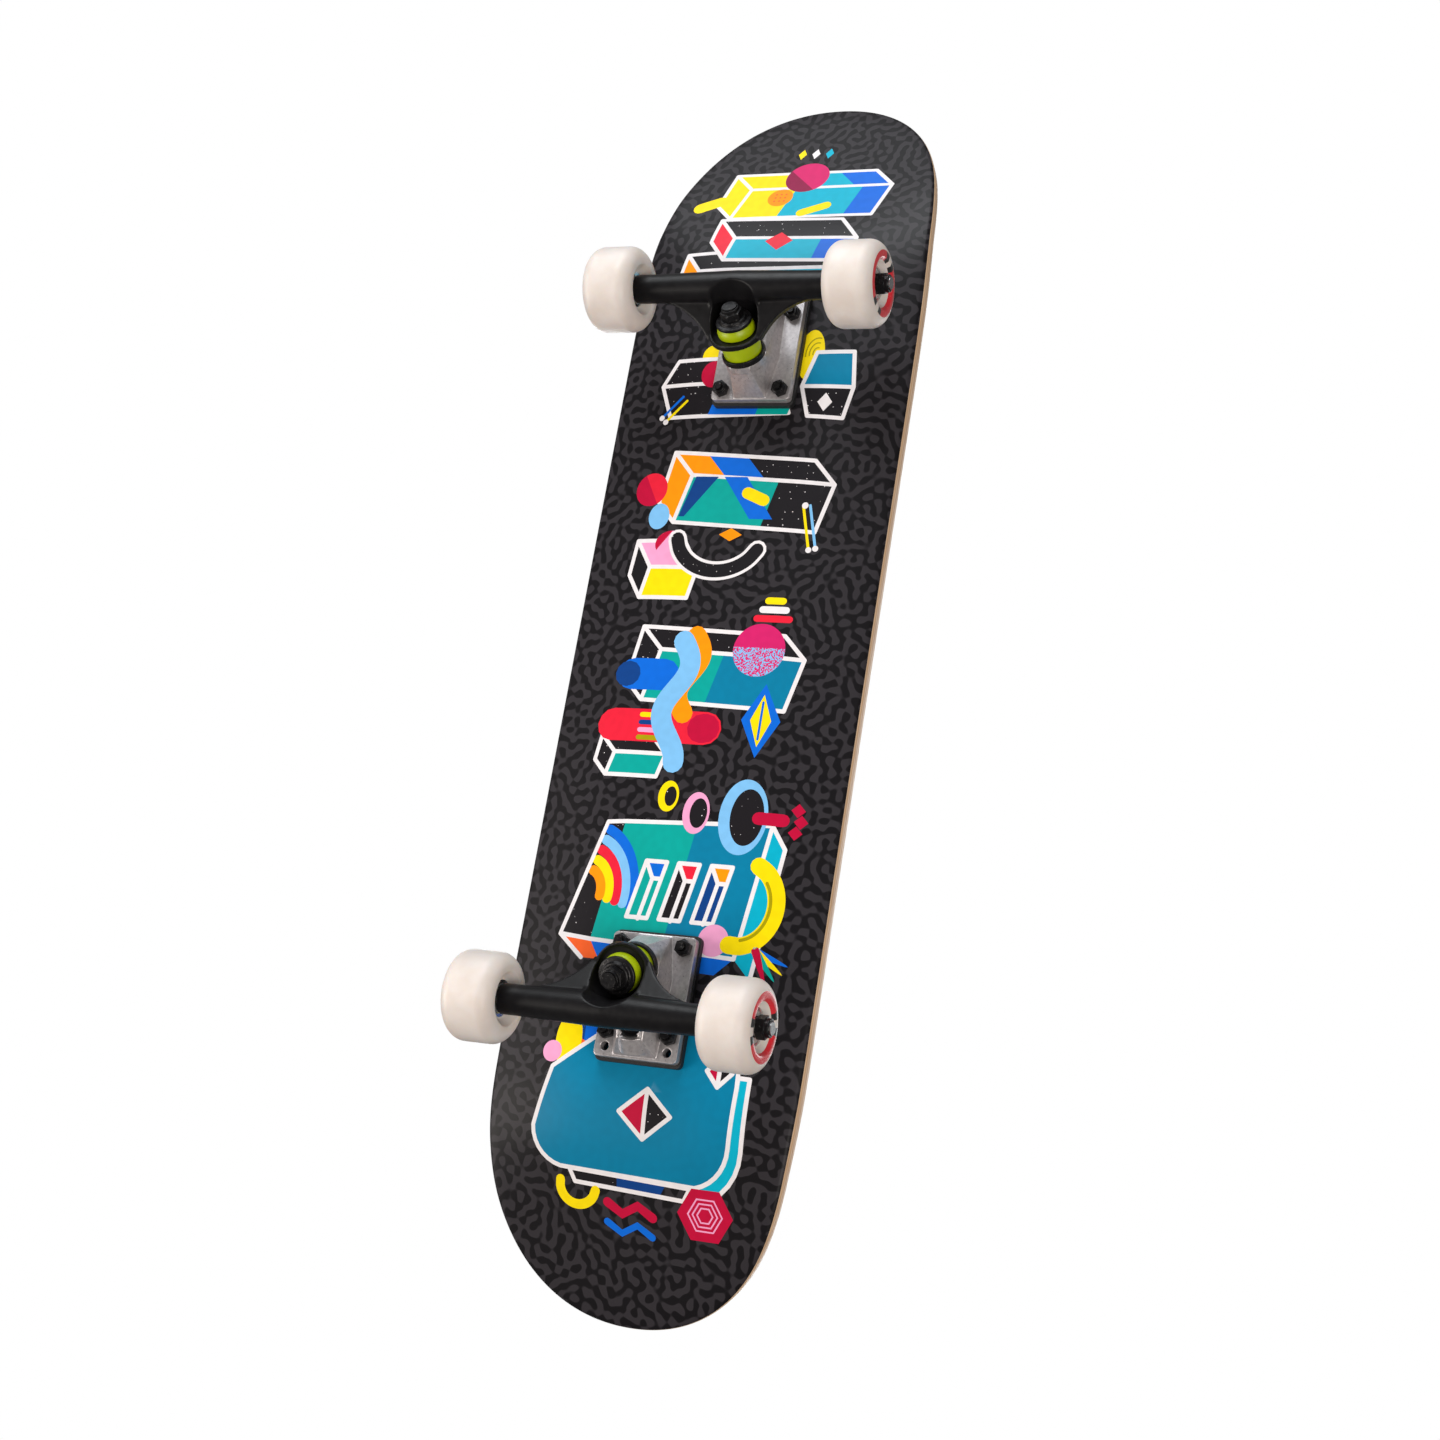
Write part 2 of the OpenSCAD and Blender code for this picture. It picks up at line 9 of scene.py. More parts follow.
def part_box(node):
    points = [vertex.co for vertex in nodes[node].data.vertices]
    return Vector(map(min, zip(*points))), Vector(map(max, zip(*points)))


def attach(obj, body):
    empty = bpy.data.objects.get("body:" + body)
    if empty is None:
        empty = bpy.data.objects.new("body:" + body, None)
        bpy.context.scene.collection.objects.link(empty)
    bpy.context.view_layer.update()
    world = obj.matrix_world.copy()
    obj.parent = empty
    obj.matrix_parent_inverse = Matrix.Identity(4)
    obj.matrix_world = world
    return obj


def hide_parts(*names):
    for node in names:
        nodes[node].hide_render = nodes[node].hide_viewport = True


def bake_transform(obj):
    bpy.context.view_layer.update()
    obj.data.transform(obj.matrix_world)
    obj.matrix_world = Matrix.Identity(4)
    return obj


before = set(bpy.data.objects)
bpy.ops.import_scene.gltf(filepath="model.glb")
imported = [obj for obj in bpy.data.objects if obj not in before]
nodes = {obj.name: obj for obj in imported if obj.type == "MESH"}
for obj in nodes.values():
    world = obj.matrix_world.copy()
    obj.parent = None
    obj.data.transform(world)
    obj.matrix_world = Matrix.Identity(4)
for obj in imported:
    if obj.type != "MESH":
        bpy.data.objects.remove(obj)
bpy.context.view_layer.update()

# Lengths in this script are in millimetres, in the frame's own axes, until they become a mesh.
MM = 0.001

# ---- What the frame says -----------------------------------------------------

deck_low, deck_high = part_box("deck")
bolts_at = {end: sum(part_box(f"{end}_mounting_bolts"), Vector()) / 2 / MM for end in ("front", "rear")}
HALF_W = deck_high.y / MM
DECK_Z = deck_low.z / MM
MID_X = (bolts_at["front"].x + bolts_at["rear"].x) / 2
ENDS = {"front": 1, "rear": -1}
SIDES = {"left": 1, "right": -1}

# The deck's own dimensions, the same as the CAD deck's
DECK_T = 11.0
GRIP_T = 0.9
NOSE_LEN, TAIL_LEN = 442.0, 417.0
NOSE_TAPER, TAIL_TAPER = 152.0, 218.0
NOSE_POWER, TAIL_POWER, TIP_POWER = 4.4, 3.5, 2.1
KICK_START, KICK_ANGLE, KICK_R = 267.0, math.radians(22.5), 120.0
CONCAVE, CONCAVE_FADE, FLAT_HALF = 9.0, 90.0, HALF_W / 3
BOTTOM_EDGE_R, TOP_EDGE_R = 3.0, 2.2
BOLT_X, BOLT_Y = 53.98, 41.28
BOLT_HEAD_R = 4.8

# How high the ink reaches up the deck's edge. The room around a bolt head in the deck and in the
# tape, the depth and floor radius of its sink, and the points around it
INK_WRAP = 1.3
HOLE_ROOM, GRIP_ROOM, SINK_DEPTH, SINK_R, HOLE_STEPS = 0.25, 0.3, 2.4, 2.6, 32

# The grip tape's rim, how far it is turned down, its skirt, and how far it sinks into the deck
GRIP_INSET, RIM_WIDTH, RIM_FALL, SKIRT, BEDDED = 0.7 * TOP_EDGE_R, 0.4, 0.35, 0.3, 0.02

# Spacing of the loose points in the flat faces, and how far they keep from the outline
PRINT_GRID, PRINT_MARGIN = 7.0, 8.0
TOP_GRID, TOP_MARGIN = 12.0, 10.0
EDGE_POINTS = 480

# Kingpin line in each truck: from the bolt pattern's centre, away from the board's middle, and down
KINGPIN_LEAN = math.radians(26.5)
RING_OUT, RING_DOWN = -3.8, 44.3
INNER_STACK, OUTER_STACK, SEAT = 15.2, 8.2, 1.15
BUSHING_R, BUSHING_TOP_R, KINGPIN_R = 12.3, 11.2, 4.81

# Wheel profile
WHEEL_R, WHEEL_HALF, TREAD_HALF = 27.5, 17.0, 8.25
SHOULDER_R = WHEEL_HALF - TREAD_HALF
RECESS_R, RECESS_FLOOR_R, HUB_HALF = 16.5, 12.0, 12.0
BEARING_R, SHELF, CORE_R = 11.0, 5.0, 7.9
WHEEL_SEGMENTS = 144


# ---- Materials ---------------------------------------------------------------

MAZE_DARK, MAZE_LIGHT = "#131114", "#302D31"
STAR_BLACK = "#1B181C"
INKS = {
    "teal": "#00A299", "cyan": "#00AECB", "sea": "#007BA2", "blue": "#0668D8", "navy": "#0A3F86",
    "yellow": "#FADD00", "mustard": "#A89A00", "orange": "#FF9500", "flame": "#FB6428",
    "red": "#E8203A", "crimson": "#C00A3A", "magenta": "#D2206A", "plum": "#8E1246",
    "pink": "#F0A2CC", "sky": "#7DBDEE", "white": "#ECE7EA", "black": "#1B191C",
}
IVORY = "#E2D9D4"
PRINT_GLOSS = {"roughness": 0.4, "Specular_IOR_Level": 0.14}
STARS_APART, GRIT_SIZE = 4.6, 0.75


def linear(code, k=1.0):
    """An sRGB colour code as linear red, green, blue and alpha, made k times as bright."""
    channels = [int(code[i:i + 2], 16) / 255 for i in (1, 3, 5)]
    return [k * (c / 12.92 if c < 0.04045 else ((c + 0.055) / 1.055) ** 2.4) for c in channels] + [1.0]


def principled(name, code, roughness, metallic=0.0, **sockets):
    """A new material with one Principled shader. Keywords name its other sockets, with _ for a space."""
    mat = bpy.data.materials.new(name)
    mat.use_nodes = True
    shader = mat.node_tree.nodes["Principled BSDF"]
    shader.inputs["Base Color"].default_value = linear(code)
    shader.inputs["Roughness"].default_value = roughness
    shader.inputs["Metallic"].default_value = metallic
    for key, value in sockets.items():
        shader.inputs[key.replace("_", " ")].default_value = value
    return mat, shader


def add(mat, kind, inputs=(), **settings):
    """A new node of a kind, with its settings, and its inputs linked or set."""
    node = mat.node_tree.nodes.new("ShaderNode" + kind)
    for key, value in settings.items():
        setattr(node, key, value)
    for key, value in dict(inputs).items():
        if isinstance(value, bpy.types.NodeSocket):
            mat.node_tree.links.new(value, node.inputs[key])
        else:
            node.inputs[key].default_value = value
    return node


def place(mat, stretch=(1, 1, 1)):
    """Coordinates fixed to the object, stretched along its axes."""
    at = add(mat, "TexCoord").outputs["Object"]
    return add(mat, "VectorMath", {0: at, 1: stretch}, operation="MULTIPLY").outputs[0]


def noise(mat, size, detail=3.0, stretch=(1, 1, 1)):
    """Noise whose features are about a size in millimetres."""
    inputs = {"Vector": place(mat, stretch), "Scale": 1 / (size * MM), "Detail": detail}
    return add(mat, "TexNoise", inputs).outputs["Fac"]


def remap(mat, value, low, high, to_low=0.0, to_high=1.0):
    """A value stretched from one range to another, and held inside it."""
    inputs = {"Value": value, "From Min": low, "From Max": high, "To Min": to_low, "To Max": to_high}
    return add(mat, "MapRange", inputs).outputs["Result"]


def mix(mat, factor, a, b):
    """The colour between a and b. Each is a socket or a linear colour."""
    node = add(mat, "Mix", data_type="RGBA")
    for socket, value in zip((node.inputs[0], node.inputs[6], node.inputs[7]), (factor, a, b)):
        if isinstance(value, bpy.types.NodeSocket):
            mat.node_tree.links.new(value, socket)
        else:
            socket.default_value = value
    return node.outputs[2]


def colour_by(mat, shader, socket):
    """Drives the base colour."""
    mat.node_tree.links.new(socket, shader.inputs["Base Color"])


def rough_by(mat, shader, factor, low, high):
    """Varies the roughness between two values with a noise."""
    mat.node_tree.links.new(remap(mat, factor, 0.3, 0.7, low, high), shader.inputs["Roughness"])


def bump_by(mat, shader, height, distance):
    """Bump whose height is distance millimetres where the factor is 1."""
    node = add(mat, "Bump", {"Height": height, "Distance": distance * MM, "Strength": 1.0})
    mat.node_tree.links.new(node.outputs[0], shader.inputs["Normal"])


def mottled(name, code, other, size, roughness, spread=0.06, grain=0.3, height=0.02, **sockets):
    """A moulded, cast or painted surface: two close tones, uneven gloss and a fine grain."""
    mat, shader = principled(name, code, roughness, **sockets)
    tone = noise(mat, size)
    colour_by(mat, shader, mix(mat, remap(mat, tone, 0.35, 0.65), linear(code), linear(other)))
    rough_by(mat, shader, noise(mat, size * 0.6, 4.0), roughness - spread, roughness + spread)
    bump_by(mat, shader, noise(mat, grain, 2.0), height)
    return mat


def labyrinth(mat, soft):
    """Winding lines of even width, about 7.5 mm apart, whose edges are blurred a little."""
    at = place(mat)
    inputs = {"Vector": at, "Scale": 60.0, "Frequency": 2.2, "Anisotropy": 0.0}
    waves = add(mat, "TexGabor", inputs, gabor_type="2D").outputs["Value"]
    return remap(mat, waves, 0.5 - soft, 0.5 + soft)


def wood_through(mat, shader):
    """The wood's grain, felt through the ink."""
    bump_by(mat, shader, noise(mat, 1.2, 2.0, (0.1, 1, 1)), 0.012)


def print_ink(name, code):
    """Flat ink with a faint trace of the labyrinth lines and a little unevenness."""
    mat, shader = principled("print_" + name, code, **PRINT_GLOSS)
    lines = remap(mat, labyrinth(mat, 0.12), 0, 1, 0.0, 0.35)
    drift = remap(mat, noise(mat, 30, 2.0), 0.3, 0.7, 0.0, 0.5)
    amount = add(mat, "Math", {0: lines, 1: drift}, operation="ADD").outputs[0]
    colour_by(mat, shader, mix(mat, amount, linear(code), linear(code, 0.88)))
    wood_through(mat, shader)
    return mat


def print_maze():
    """The charcoal ground with its lighter labyrinth lines."""
    mat, shader = principled("print_maze", MAZE_DARK, **PRINT_GLOSS)
    colour_by(mat, shader, mix(mat, labyrinth(mat, 0.03), linear(MAZE_DARK), linear(MAZE_LIGHT)))
    wood_through(mat, shader)
    return mat


def print_stars():
    """Black ink with small white dots of uneven size and spacing."""
    mat, shader = principled("print_stars", STAR_BLACK, **PRINT_GLOSS)
    cells = add(mat, "TexVoronoi", {"Vector": place(mat), "Scale": 1 / (STARS_APART * MM)},
                voronoi_dimensions="2D")
    pick = add(mat, "SeparateColor", {0: cells.outputs["Color"]}).outputs[0]
    size = remap(mat, pick, 0.4, 1.0, -0.02, 0.085)
    spot = add(mat, "Math", {0: size, 1: cells.outputs["Distance"]}, operation="SUBTRACT").outputs[0]
    colour_by(mat, shader, mix(mat, remap(mat, spot, 0, 0.015), linear(STAR_BLACK), linear(INKS["white"])))
    return mat


def print_speckle():
    """Fine sky-blue and magenta speckle."""
    mat, shader = principled("print_speckle", INKS["sky"], **PRINT_GLOSS)
    grain = remap(mat, noise(mat, 0.9, 1.0), 0.48, 0.5)
    colour_by(mat, shader, mix(mat, grain, linear(INKS["sky"]), linear(INKS["magenta"])))
    return mat


def maple_ply():
    """Seven maple plies seen edge on. The mesh's ply attribute is the height through the deck, 0 to 1."""
    mat, shader = principled("maple_edge", "#E3C4A6", 0.5, Coat_Weight=0.15, Coat_Roughness=0.35)
    through = add(mat, "Attribute", attribute_name="ply").outputs["Fac"]
    ramp = add(mat, "ValToRGB", {"Fac": through})
    plies = ramp.color_ramp
    plies.interpolation = "CONSTANT"
    tones = ["#E4C6A6", "#D9B48F", "#E8CCAE", "#D2A983", "#E5C7A8", "#DAB691", "#E7CBAD"]
    plies.elements[0].color = linear(tones[0])
    plies.elements[1].position = 1 / len(tones)
    plies.elements[1].color = linear(tones[1])
    for i in range(2, len(tones)):
        plies.elements.new(i / len(tones)).color = linear(tones[i])
    streaks = remap(mat, noise(mat, 2.0, 4.0, (0.06, 0.06, 1.2)), 0.4, 0.75, 0.0, 0.55)
    colour_by(mat, shader, mix(mat, streaks, ramp.outputs["Color"], linear("#B98C62")))
    bump_by(mat, shader, noise(mat, 0.8, 3.0, (0.15, 0.15, 1)), 0.05)
    return mat


def grip_grit():
    """Black grit: coarse sharp grains that catch the light here and there."""
    mat, shader = principled("grip_grit", "#19191B", 0.85, Specular_IOR_Level=0.45)
    grains = add(mat, "TexVoronoi", {"Vector": place(mat), "Scale": 1 / (GRIT_SIZE * MM)})
    pick = add(mat, "SeparateColor", {0: grains.outputs["Color"]}).outputs[0]
    sparkle = remap(mat, pick, 0.9, 0.97)
    dust = mix(mat, remap(mat, noise(mat, 60), 0.35, 0.7), linear("#151517"), linear("#232326"))
    colour_by(mat, shader, mix(mat, sparkle, dust, linear("#5A5A60")))
    bump_by(mat, shader, grains.outputs["Distance"], 0.5)
    return mat


def urethane(name, code, other, roughness):
    """Poured urethane: a soft translucent body with a smooth skin."""
    mat, shader = principled(
        name, code, roughness, Subsurface_Weight=0.25, Subsurface_Scale=0.003,
        Subsurface_Radius=(1.0, 0.6, 0.35))
    colour_by(mat, shader, mix(mat, remap(mat, noise(mat, 14), 0.35, 0.65), linear(code), linear(other)))
    rough_by(mat, shader, noise(mat, 5, 4.0), roughness - 0.05, roughness + 0.05)
    bump_by(mat, shader, noise(mat, 0.5, 2.0), 0.004)
    return mat


def wheel_ink(name, code):
    """Glossy pad print, worn through to the urethane in places."""
    mat, shader = principled("wheel_" + name, code, 0.3, Coat_Weight=0.3, Coat_Roughness=0.15)
    wear = remap(mat, noise(mat, 1.6, 5.0), 0.6, 0.75, 0.0, 0.25)
    colour_by(mat, shader, mix(mat, wear, linear(code), linear(IVORY)))
    return mat


def turned_steel(name, code, roughness, metallic=1.0):
    """Bright steel with fine tool marks."""
    mat, shader = principled(name, code, roughness, metallic=metallic)
    marks = noise(mat, 0.6, 3.0, (1, 8, 1))
    colour_by(mat, shader, mix(mat, remap(mat, marks, 0.3, 0.7), linear(code), linear(code, 0.8)))
    rough_by(mat, shader, noise(mat, 1.5, 3.0), roughness - 0.05, roughness + 0.08)
    return mat


def black_oxide():
    """Blackened steel with lighter scuffs."""
    mat, shader = principled("black_oxide", "#1E1D1F", 0.34, metallic=0.6)
    scuff = remap(mat, noise(mat, 1.5, 6.0), 0.6, 0.78)
    colour_by(mat, shader, mix(mat, scuff, linear("#1C1B1D"), linear("#6A6866")))
    rough_by(mat, shader, noise(mat, 2.0, 4.0), 0.26, 0.44)
    bump_by(mat, shader, noise(mat, 0.8, 4.0), 0.02)
    return mat


ink = {name: print_ink(name, code) for name, code in INKS.items()}
ink.update(maze=print_maze(), stars=print_stars(), speckle=print_speckle())
maple = maple_ply()
grit = grip_grit()
ivory = urethane("wheel_ivory", IVORY, "#DCD1CA", 0.46)
lime = urethane("bushing_lime", "#ADC000", "#A0B400", 0.34)
FINISHES = {
    "riser_pad": mottled("riser_black", "#161617", "#1E1E20", 3.0, 0.55, 0.08, 0.4, 0.03),
    "baseplate": mottled("cast_silver", "#C6C1C2", "#B2ADAF", 2.2, 0.34, 0.07, 0.7, 0.03, metallic=0.64),
    "pivot_cup": mottled("cup_black", "#151515", "#1C1C1D", 2.0, 0.5),
    "hanger": mottled("hanger_black", "#0F0E10", "#141315", 6.0, 0.38, 0.05, 0.5, 0.012,
                      Specular_IOR_Level=0.2),
    "bearing_shields": turned_steel("shield_steel", "#DDE1DE", 0.28, 0.7),
    "bearing_": turned_steel("bearing_steel", "#C9CBCC", 0.14),
    "axle": turned_steel("axle_steel", "#B4B5B6", 0.3),
    "cages": mottled("cage_nylon", "#E8E0C8", "#DDD4BA", 2.0, 0.5),
    "black": black_oxide(),
}


# ---- Flat drawing ------------------------------------------------------------

# Points on the deck are (y, s): y across it, and s along its underside from midway between the trucks.
PRINT = []
LINE, CURVE_STEPS, LONGEST_EDGE = 2.7, 5, 5.0


def paint(name, points):
    """Lays a closed shape of ink over what is painted already."""
    PRINT.append((name, [(float(y), float(s)) for y, s in points]))


def smooth(points, closed=True):
    """A Catmull-Rom curve through the points."""
    p = np.array(points, float)
    n = len(p)
    if not closed:
        p = np.vstack([2 * p[0] - p[1], p, 2 * p[-1] - p[-2]])
    out = []
    for i in range(n if closed else n - 1):
        a, b, c, d = (p[(i + k) % len(p)] for k in range(4))
        for t in np.linspace(0, 1, CURVE_STEPS, endpoint=False):
            out.append(0.5 * (2 * b + (c - a) * t + (2 * a - 5 * b + 4 * c - d) * t**2
                              + (3 * b - a - 3 * c + d) * t**3))
    if not closed:
        out.append(p[-2])
    return np.array(out)


def arc(y, s, ry, rs=None, start=0, end=360, steps=None):
    """Points along an ellipse, or along part of it. Angles are in degrees from +y towards +s."""
    rs = ry if rs is None else rs
    steps = steps or max(6, int((end - start) / 360 * (14 + ry + rs)))
    angle = np.radians(np.linspace(start, end, steps, endpoint=end - start < 360))
    return np.stack([ry * np.cos(angle), rs * np.sin(angle)], 1) + [y, s]


def disc(name, y, s, ry, rs=None, **where):
    """Paints a disc, an oval, or with few steps a polygon."""
    paint(name, arc(y, s, ry, rs, **where))


def ribbon(name, points, width, curved=True):
    """A band along a path with round ends."""
    path = smooth(points, closed=False) if curved else np.array(points, float)
    side = np.gradient(path, axis=0)
    side = np.stack([-side[:, 1], side[:, 0]], 1) / np.linalg.norm(side, axis=1)[:, None]
    half = width / 2
    first = math.degrees(math.atan2(side[0][1], side[0][0]))
    last = math.degrees(math.atan2(-side[-1][1], -side[-1][0]))
    start_cap = arc(*path[0], half, start=first, end=first + 180, steps=7)
    end_cap = arc(*path[-1], half, start=last, end=last + 180, steps=7)
    paint(name, np.vstack([(path + side * half)[::-1], start_cap[1:-1], path - side * half, end_cap[1:-1]]))


def spikes(name, y, s, shapes):
    """Thin points that fan out from one place. Each is (angle, length, width at its root)."""
    for angle, length, width in shapes:
        along = np.array([math.cos(math.radians(angle)), math.sin(math.radians(angle))])
        across = np.array([-along[1], along[0]]) * width / 2
        root = np.array([y, s])
        paint(name, smooth([root + across, root + along * length, root - across, root - along * width / 3]))


def outline_of(points, closed=True):
    """White lines from point to point."""
    ends = list(points[1:]) + ([points[0]] if closed else [])
    for a, b in zip(points, ends):
        ribbon("white", [a, b], LINE, curved=False)


def panel(corners, *bands):
    """A four-sided face whose colour changes along its length. Bands are (where it ends, ink)."""
    a, b, c, d = (np.array(p, float) for p in corners)
    start = 0.0
    for end, name in bands:
        paint(name, [a + (b - a) * start, a + (b - a) * end, d + (c - d) * end, d + (c - d) * start])
        start = end


def slab(top_left, length, top, front, end, depth, drop, lift=0.0):
    """A long block seen from a corner, with white edges: a top, a front below it and perhaps an end.
    length runs across the deck, depth steps down to the front, and drop is the front's slant."""
    a = np.array(top_left, float)
    run = np.array([length, lift])
    b, c, d = a + run, a + run + depth, a + depth
    e, f, g = d + drop, c + drop, a + drop
    panel([a, b, c, d], *top)
    panel([d, c, f, e], *front)
    outline_of([d, c], closed=False)
    if end is None:
        outline_of([a, b, c, f, e, d])
        return
    corner = g + np.array(depth) * 0.15
    panel([a, d, e, corner], (1.0, end))
    outline_of([a, b, c, f, e, corner])
    outline_of([a, d, e], closed=False)


def window(left, top, width, height, above, side, back):
    """An opening in a face, with its upper and left reveals showing."""
    corner = np.array([left, top], float)
    right, down = np.array([width, 0.0]), np.array([-0.2 * height, -height])
    inner = corner + [width * 0.42, -height * 0.3]
    paint(back, [corner, corner + right, corner + right + down, corner + down])
    paint(above, [corner, corner + right, corner + right + down * 0.3, inner])
    paint(side, [corner, inner, inner + down * 0.72, corner + down])
    outline_of([corner, corner + right, corner + right + down, corner + down])
    outline_of([corner, inner, inner + down * 0.72], closed=False)
    outline_of([inner, corner + right + down * 0.3], closed=False)


# ---- What is printed on the deck -----------------------------------------------

# Plain blocks, discs, hoops, bars and waves over the labyrinth. Nothing in it stands for anything.

def diamond(name, y, s, ry, rs):
    """Paints a diamond, as a disc of four steps."""
    disc(name, y, s, ry, rs, steps=4)


def split_diamond(y, s, ry, rs, left, right):
    """A diamond in two colours with white edges."""
    corners = arc(y, s, ry, rs, steps=4)
    paint(right, corners[[3, 0, 1]])
    paint(left, corners[[1, 2, 3]])
    outline_of([tuple(c) for c in corners])
    outline_of([tuple(corners[1]), tuple(corners[3])], closed=False)


def wave(name, y, start, end, swing, width, turns):
    """A band that runs along the deck in a sine wave."""
    t = np.linspace(0, 1, 16)
    across = y + swing * np.sin(2 * math.pi * turns * t)
    ribbon(name, np.stack([across, start + (end - start) * t], 1), width)


def strokes(y, s, turn, length, *names):
    """Short straight lines side by side, with a dot at the end of each."""
    along = np.array([math.cos(math.radians(turn)), math.sin(math.radians(turn))])
    across = np.array([-along[1], along[0]])
    apart, width = 4.5, 1.8
    for k, name in enumerate(names):
        root = np.array([y, s]) + across * apart * k
        ribbon(name, [root, root + along * length], width, curved=False)
        disc("white", *(root + along * length), 2.0)


def hoop(name, y, s, ry, rs, thick):
    """A ring seen at an angle, with dark space inside."""
    disc(name, y, s, ry, rs)
    disc("stars", y + thick * 0.5, s, ry - thick, rs - thick * 1.2)


def dots(name, y, s, step, columns, rows, size):
    """A grid of small discs, from one corner across and down."""
    for column in range(columns):
        for row in range(rows):
            disc(name, y + step * column, s - step * row, size)


def print_nose():
    """Three stacked blocks with plain discs and bars on them."""
    slab((-69, 291), 96, [(1.0, "stars")], [(1.0, "cyan")], "orange", (11, -14), (-5, -20))
    slab((-53, 323), 88, [(1.0, "stars")], [(0.72, "cyan"), (1.0, "blue")], "red", (15, -19), (-4, -19), -3)
    slab((-56, 371), 102, [(0.36, "yellow"), (0.74, "cyan"), (1.0, "blue")],
         [(0.33, "yellow"), (0.80, "cyan"), (1.0, "blue")], "yellow", (15, -16), (-7, -31))
    disc("magenta", -3, 366, 15.5)
    paint("plum", arc(-3, 366, 15.5, start=150, end=300))
    disc("orange", -17, 345, 9)
    dots("flame", -20.5, 348.5, 3.5, 3, 3, 0.8)
    ribbon("yellow", [(-60, 343), (-74, 337)], 10, curved=False)
    ribbon("yellow", [(3, 328), (19, 335)], 7.5, curved=False)
    diamond("red", -5, 300, 10, 8)
    for y, name in ((-14, "yellow"), (-4, "white"), (6, "cyan")):
        diamond(name, y, 392, 3, 5.5)


def print_front_truck():
    """A dark box beside a small cube, with an oval between them."""
    disc("yellow", 34, 213, 9, 18)
    for reach in (3.0, 5.5, 8.0):
        ribbon("mustard", arc(38, 214, reach, reach * 1.4, start=80, end=190, steps=8), 0.9)
    disc("yellow", -35, 213, 8)
    slab((-60, 210), 84, [(1.0, "stars")], [(1.0, "stars")], None, (-9, -18), (10, -23), 3)
    disc("crimson", -33, 200, 8.5, 9.5)
    panel([(-30, 178), (26, 178), (24, 171), (-32, 171)], (0.6, "blue"), (1.0, "teal"))
    lid = [(38, 215), (63, 216), (66, 191), (31, 191)]
    front = [(66, 191), (62, 169), (38, 170), (31, 191)]
    paint("sea", lid)
    paint("stars", front[-1:] + front[:-1])
    outline_of(lid)
    outline_of(front, closed=False)
    diamond("white", 48.5, 180, 5, 6.5)
    strokes(-52, 184, 228, 20, "blue", "yellow")


def print_middle():
    """A banded block, a small cube below it, and a dark tube with a white edge."""
    slab((-50, 144), 99, [(0.24, "orange"), (0.52, "blue"), (1.0, "stars")],
         [(0.62, "teal"), (1.0, "stars")], "orange", (15, -16), (-8, -33), -5)
    paint("navy", [(-32, 127), (-16, 127), (-36, 99), (-40, 99)])
    paint("blue", [(-12, 127), (4, 127), (26, 98), (10, 98)])
    ribbon("yellow", [(6, 116), (18, 111)], 8, curved=False)
    disc("red", -63, 118, 11.6)
    paint("crimson", arc(-63, 118, 11.6, start=120, end=300))
    disc("sky", -54, 99, 7.5, 9)
    diamond("orange", -1, 87, 8, 4.5)
    slab((-66, 82), 34, [(1.0, "pink")], [(1.0, "yellow")], "black", (12, -18), (-4, -21))
    disc("pink", -42, 80, 11, 9)
    paint("crimson", arc(-42, 80, 11, 9, start=90, end=210))
    path = arc(-8, 88, 30, 26, start=190, end=335, steps=9)
    ribbon("white", path, 13)
    ribbon("stars", path, 9)
    strokes(46, 107, 285, 30, "yellow", "sky")
    disc("white", 47, 108, 2.2)


def print_bars():
    """A block with two waves over it, two round bars, a speckled ball and a tall diamond."""
    slab((-66, -50), 36, [(1.0, "stars")], [(1.0, "teal")], "stars", (11, -11), (-4, -15))
    slab((-50, 23), 98, [(1.0, "stars")], [(0.45, "teal"), (1.0, "sea")], "stars", (15, -15), (-8, -34), -3)
    ribbon("blue", [(-52, -9), (-30, -9)], 21, curved=False)
    ribbon("navy", [(-56, -9), (-55, -9)], 17, curved=False)
    ribbon("red", [(-60, -43), (5, -43)], 21.5, curved=False)
    ribbon("crimson", [(2, -43), (5, -43)], 19, curved=False)
    for k, name in enumerate(("yellow", "navy", "pink", "mustard")):
        ribbon(name, [(-40, -36 - 5 * k), (-27, -36 - 5 * k)], 3.2, curved=False)
    wave("orange", -12, 18, -34, 6, 13, 1.0)
    wave("sky", -20, 14, -66, 7, 14, 1.25)
    disc("magenta", 32, 10, 17.5)
    paint("speckle", arc(32, 10, 17.5, start=175, end=365))
    for s, half, name in ((31, 11, "red"), (37, 8, "white"), (43, 5, "yellow")):
        ribbon(name, [(38 - half, s), (38 + half, s)], 4.6, curved=False)
    diamond("blue", 41, -36, 13, 24)
    diamond("yellow", 41, -36, 7, 17)
    ribbon("blue", [(41, -24), (41, -48)], 1.6, curved=False)


def print_hoops():
    """Three hoops that grow, and a bar with three small diamonds."""
    hoop("yellow", -12, -88, 7, 10, 3)
    hoop("pink", 8.5, -97.5, 9, 13.4, 3.2)
    hoop("sky", 40, -98, 16, 24, 5)
    ribbon("crimson", [(50, -98), (66, -98)], 8, curved=False)
    for turn in (-40, 0, 40):
        reach = math.radians(turn)
        diamond("crimson", 66 + 11 * math.cos(reach), -98 + 11 * math.sin(reach), 4.5, 4.5)


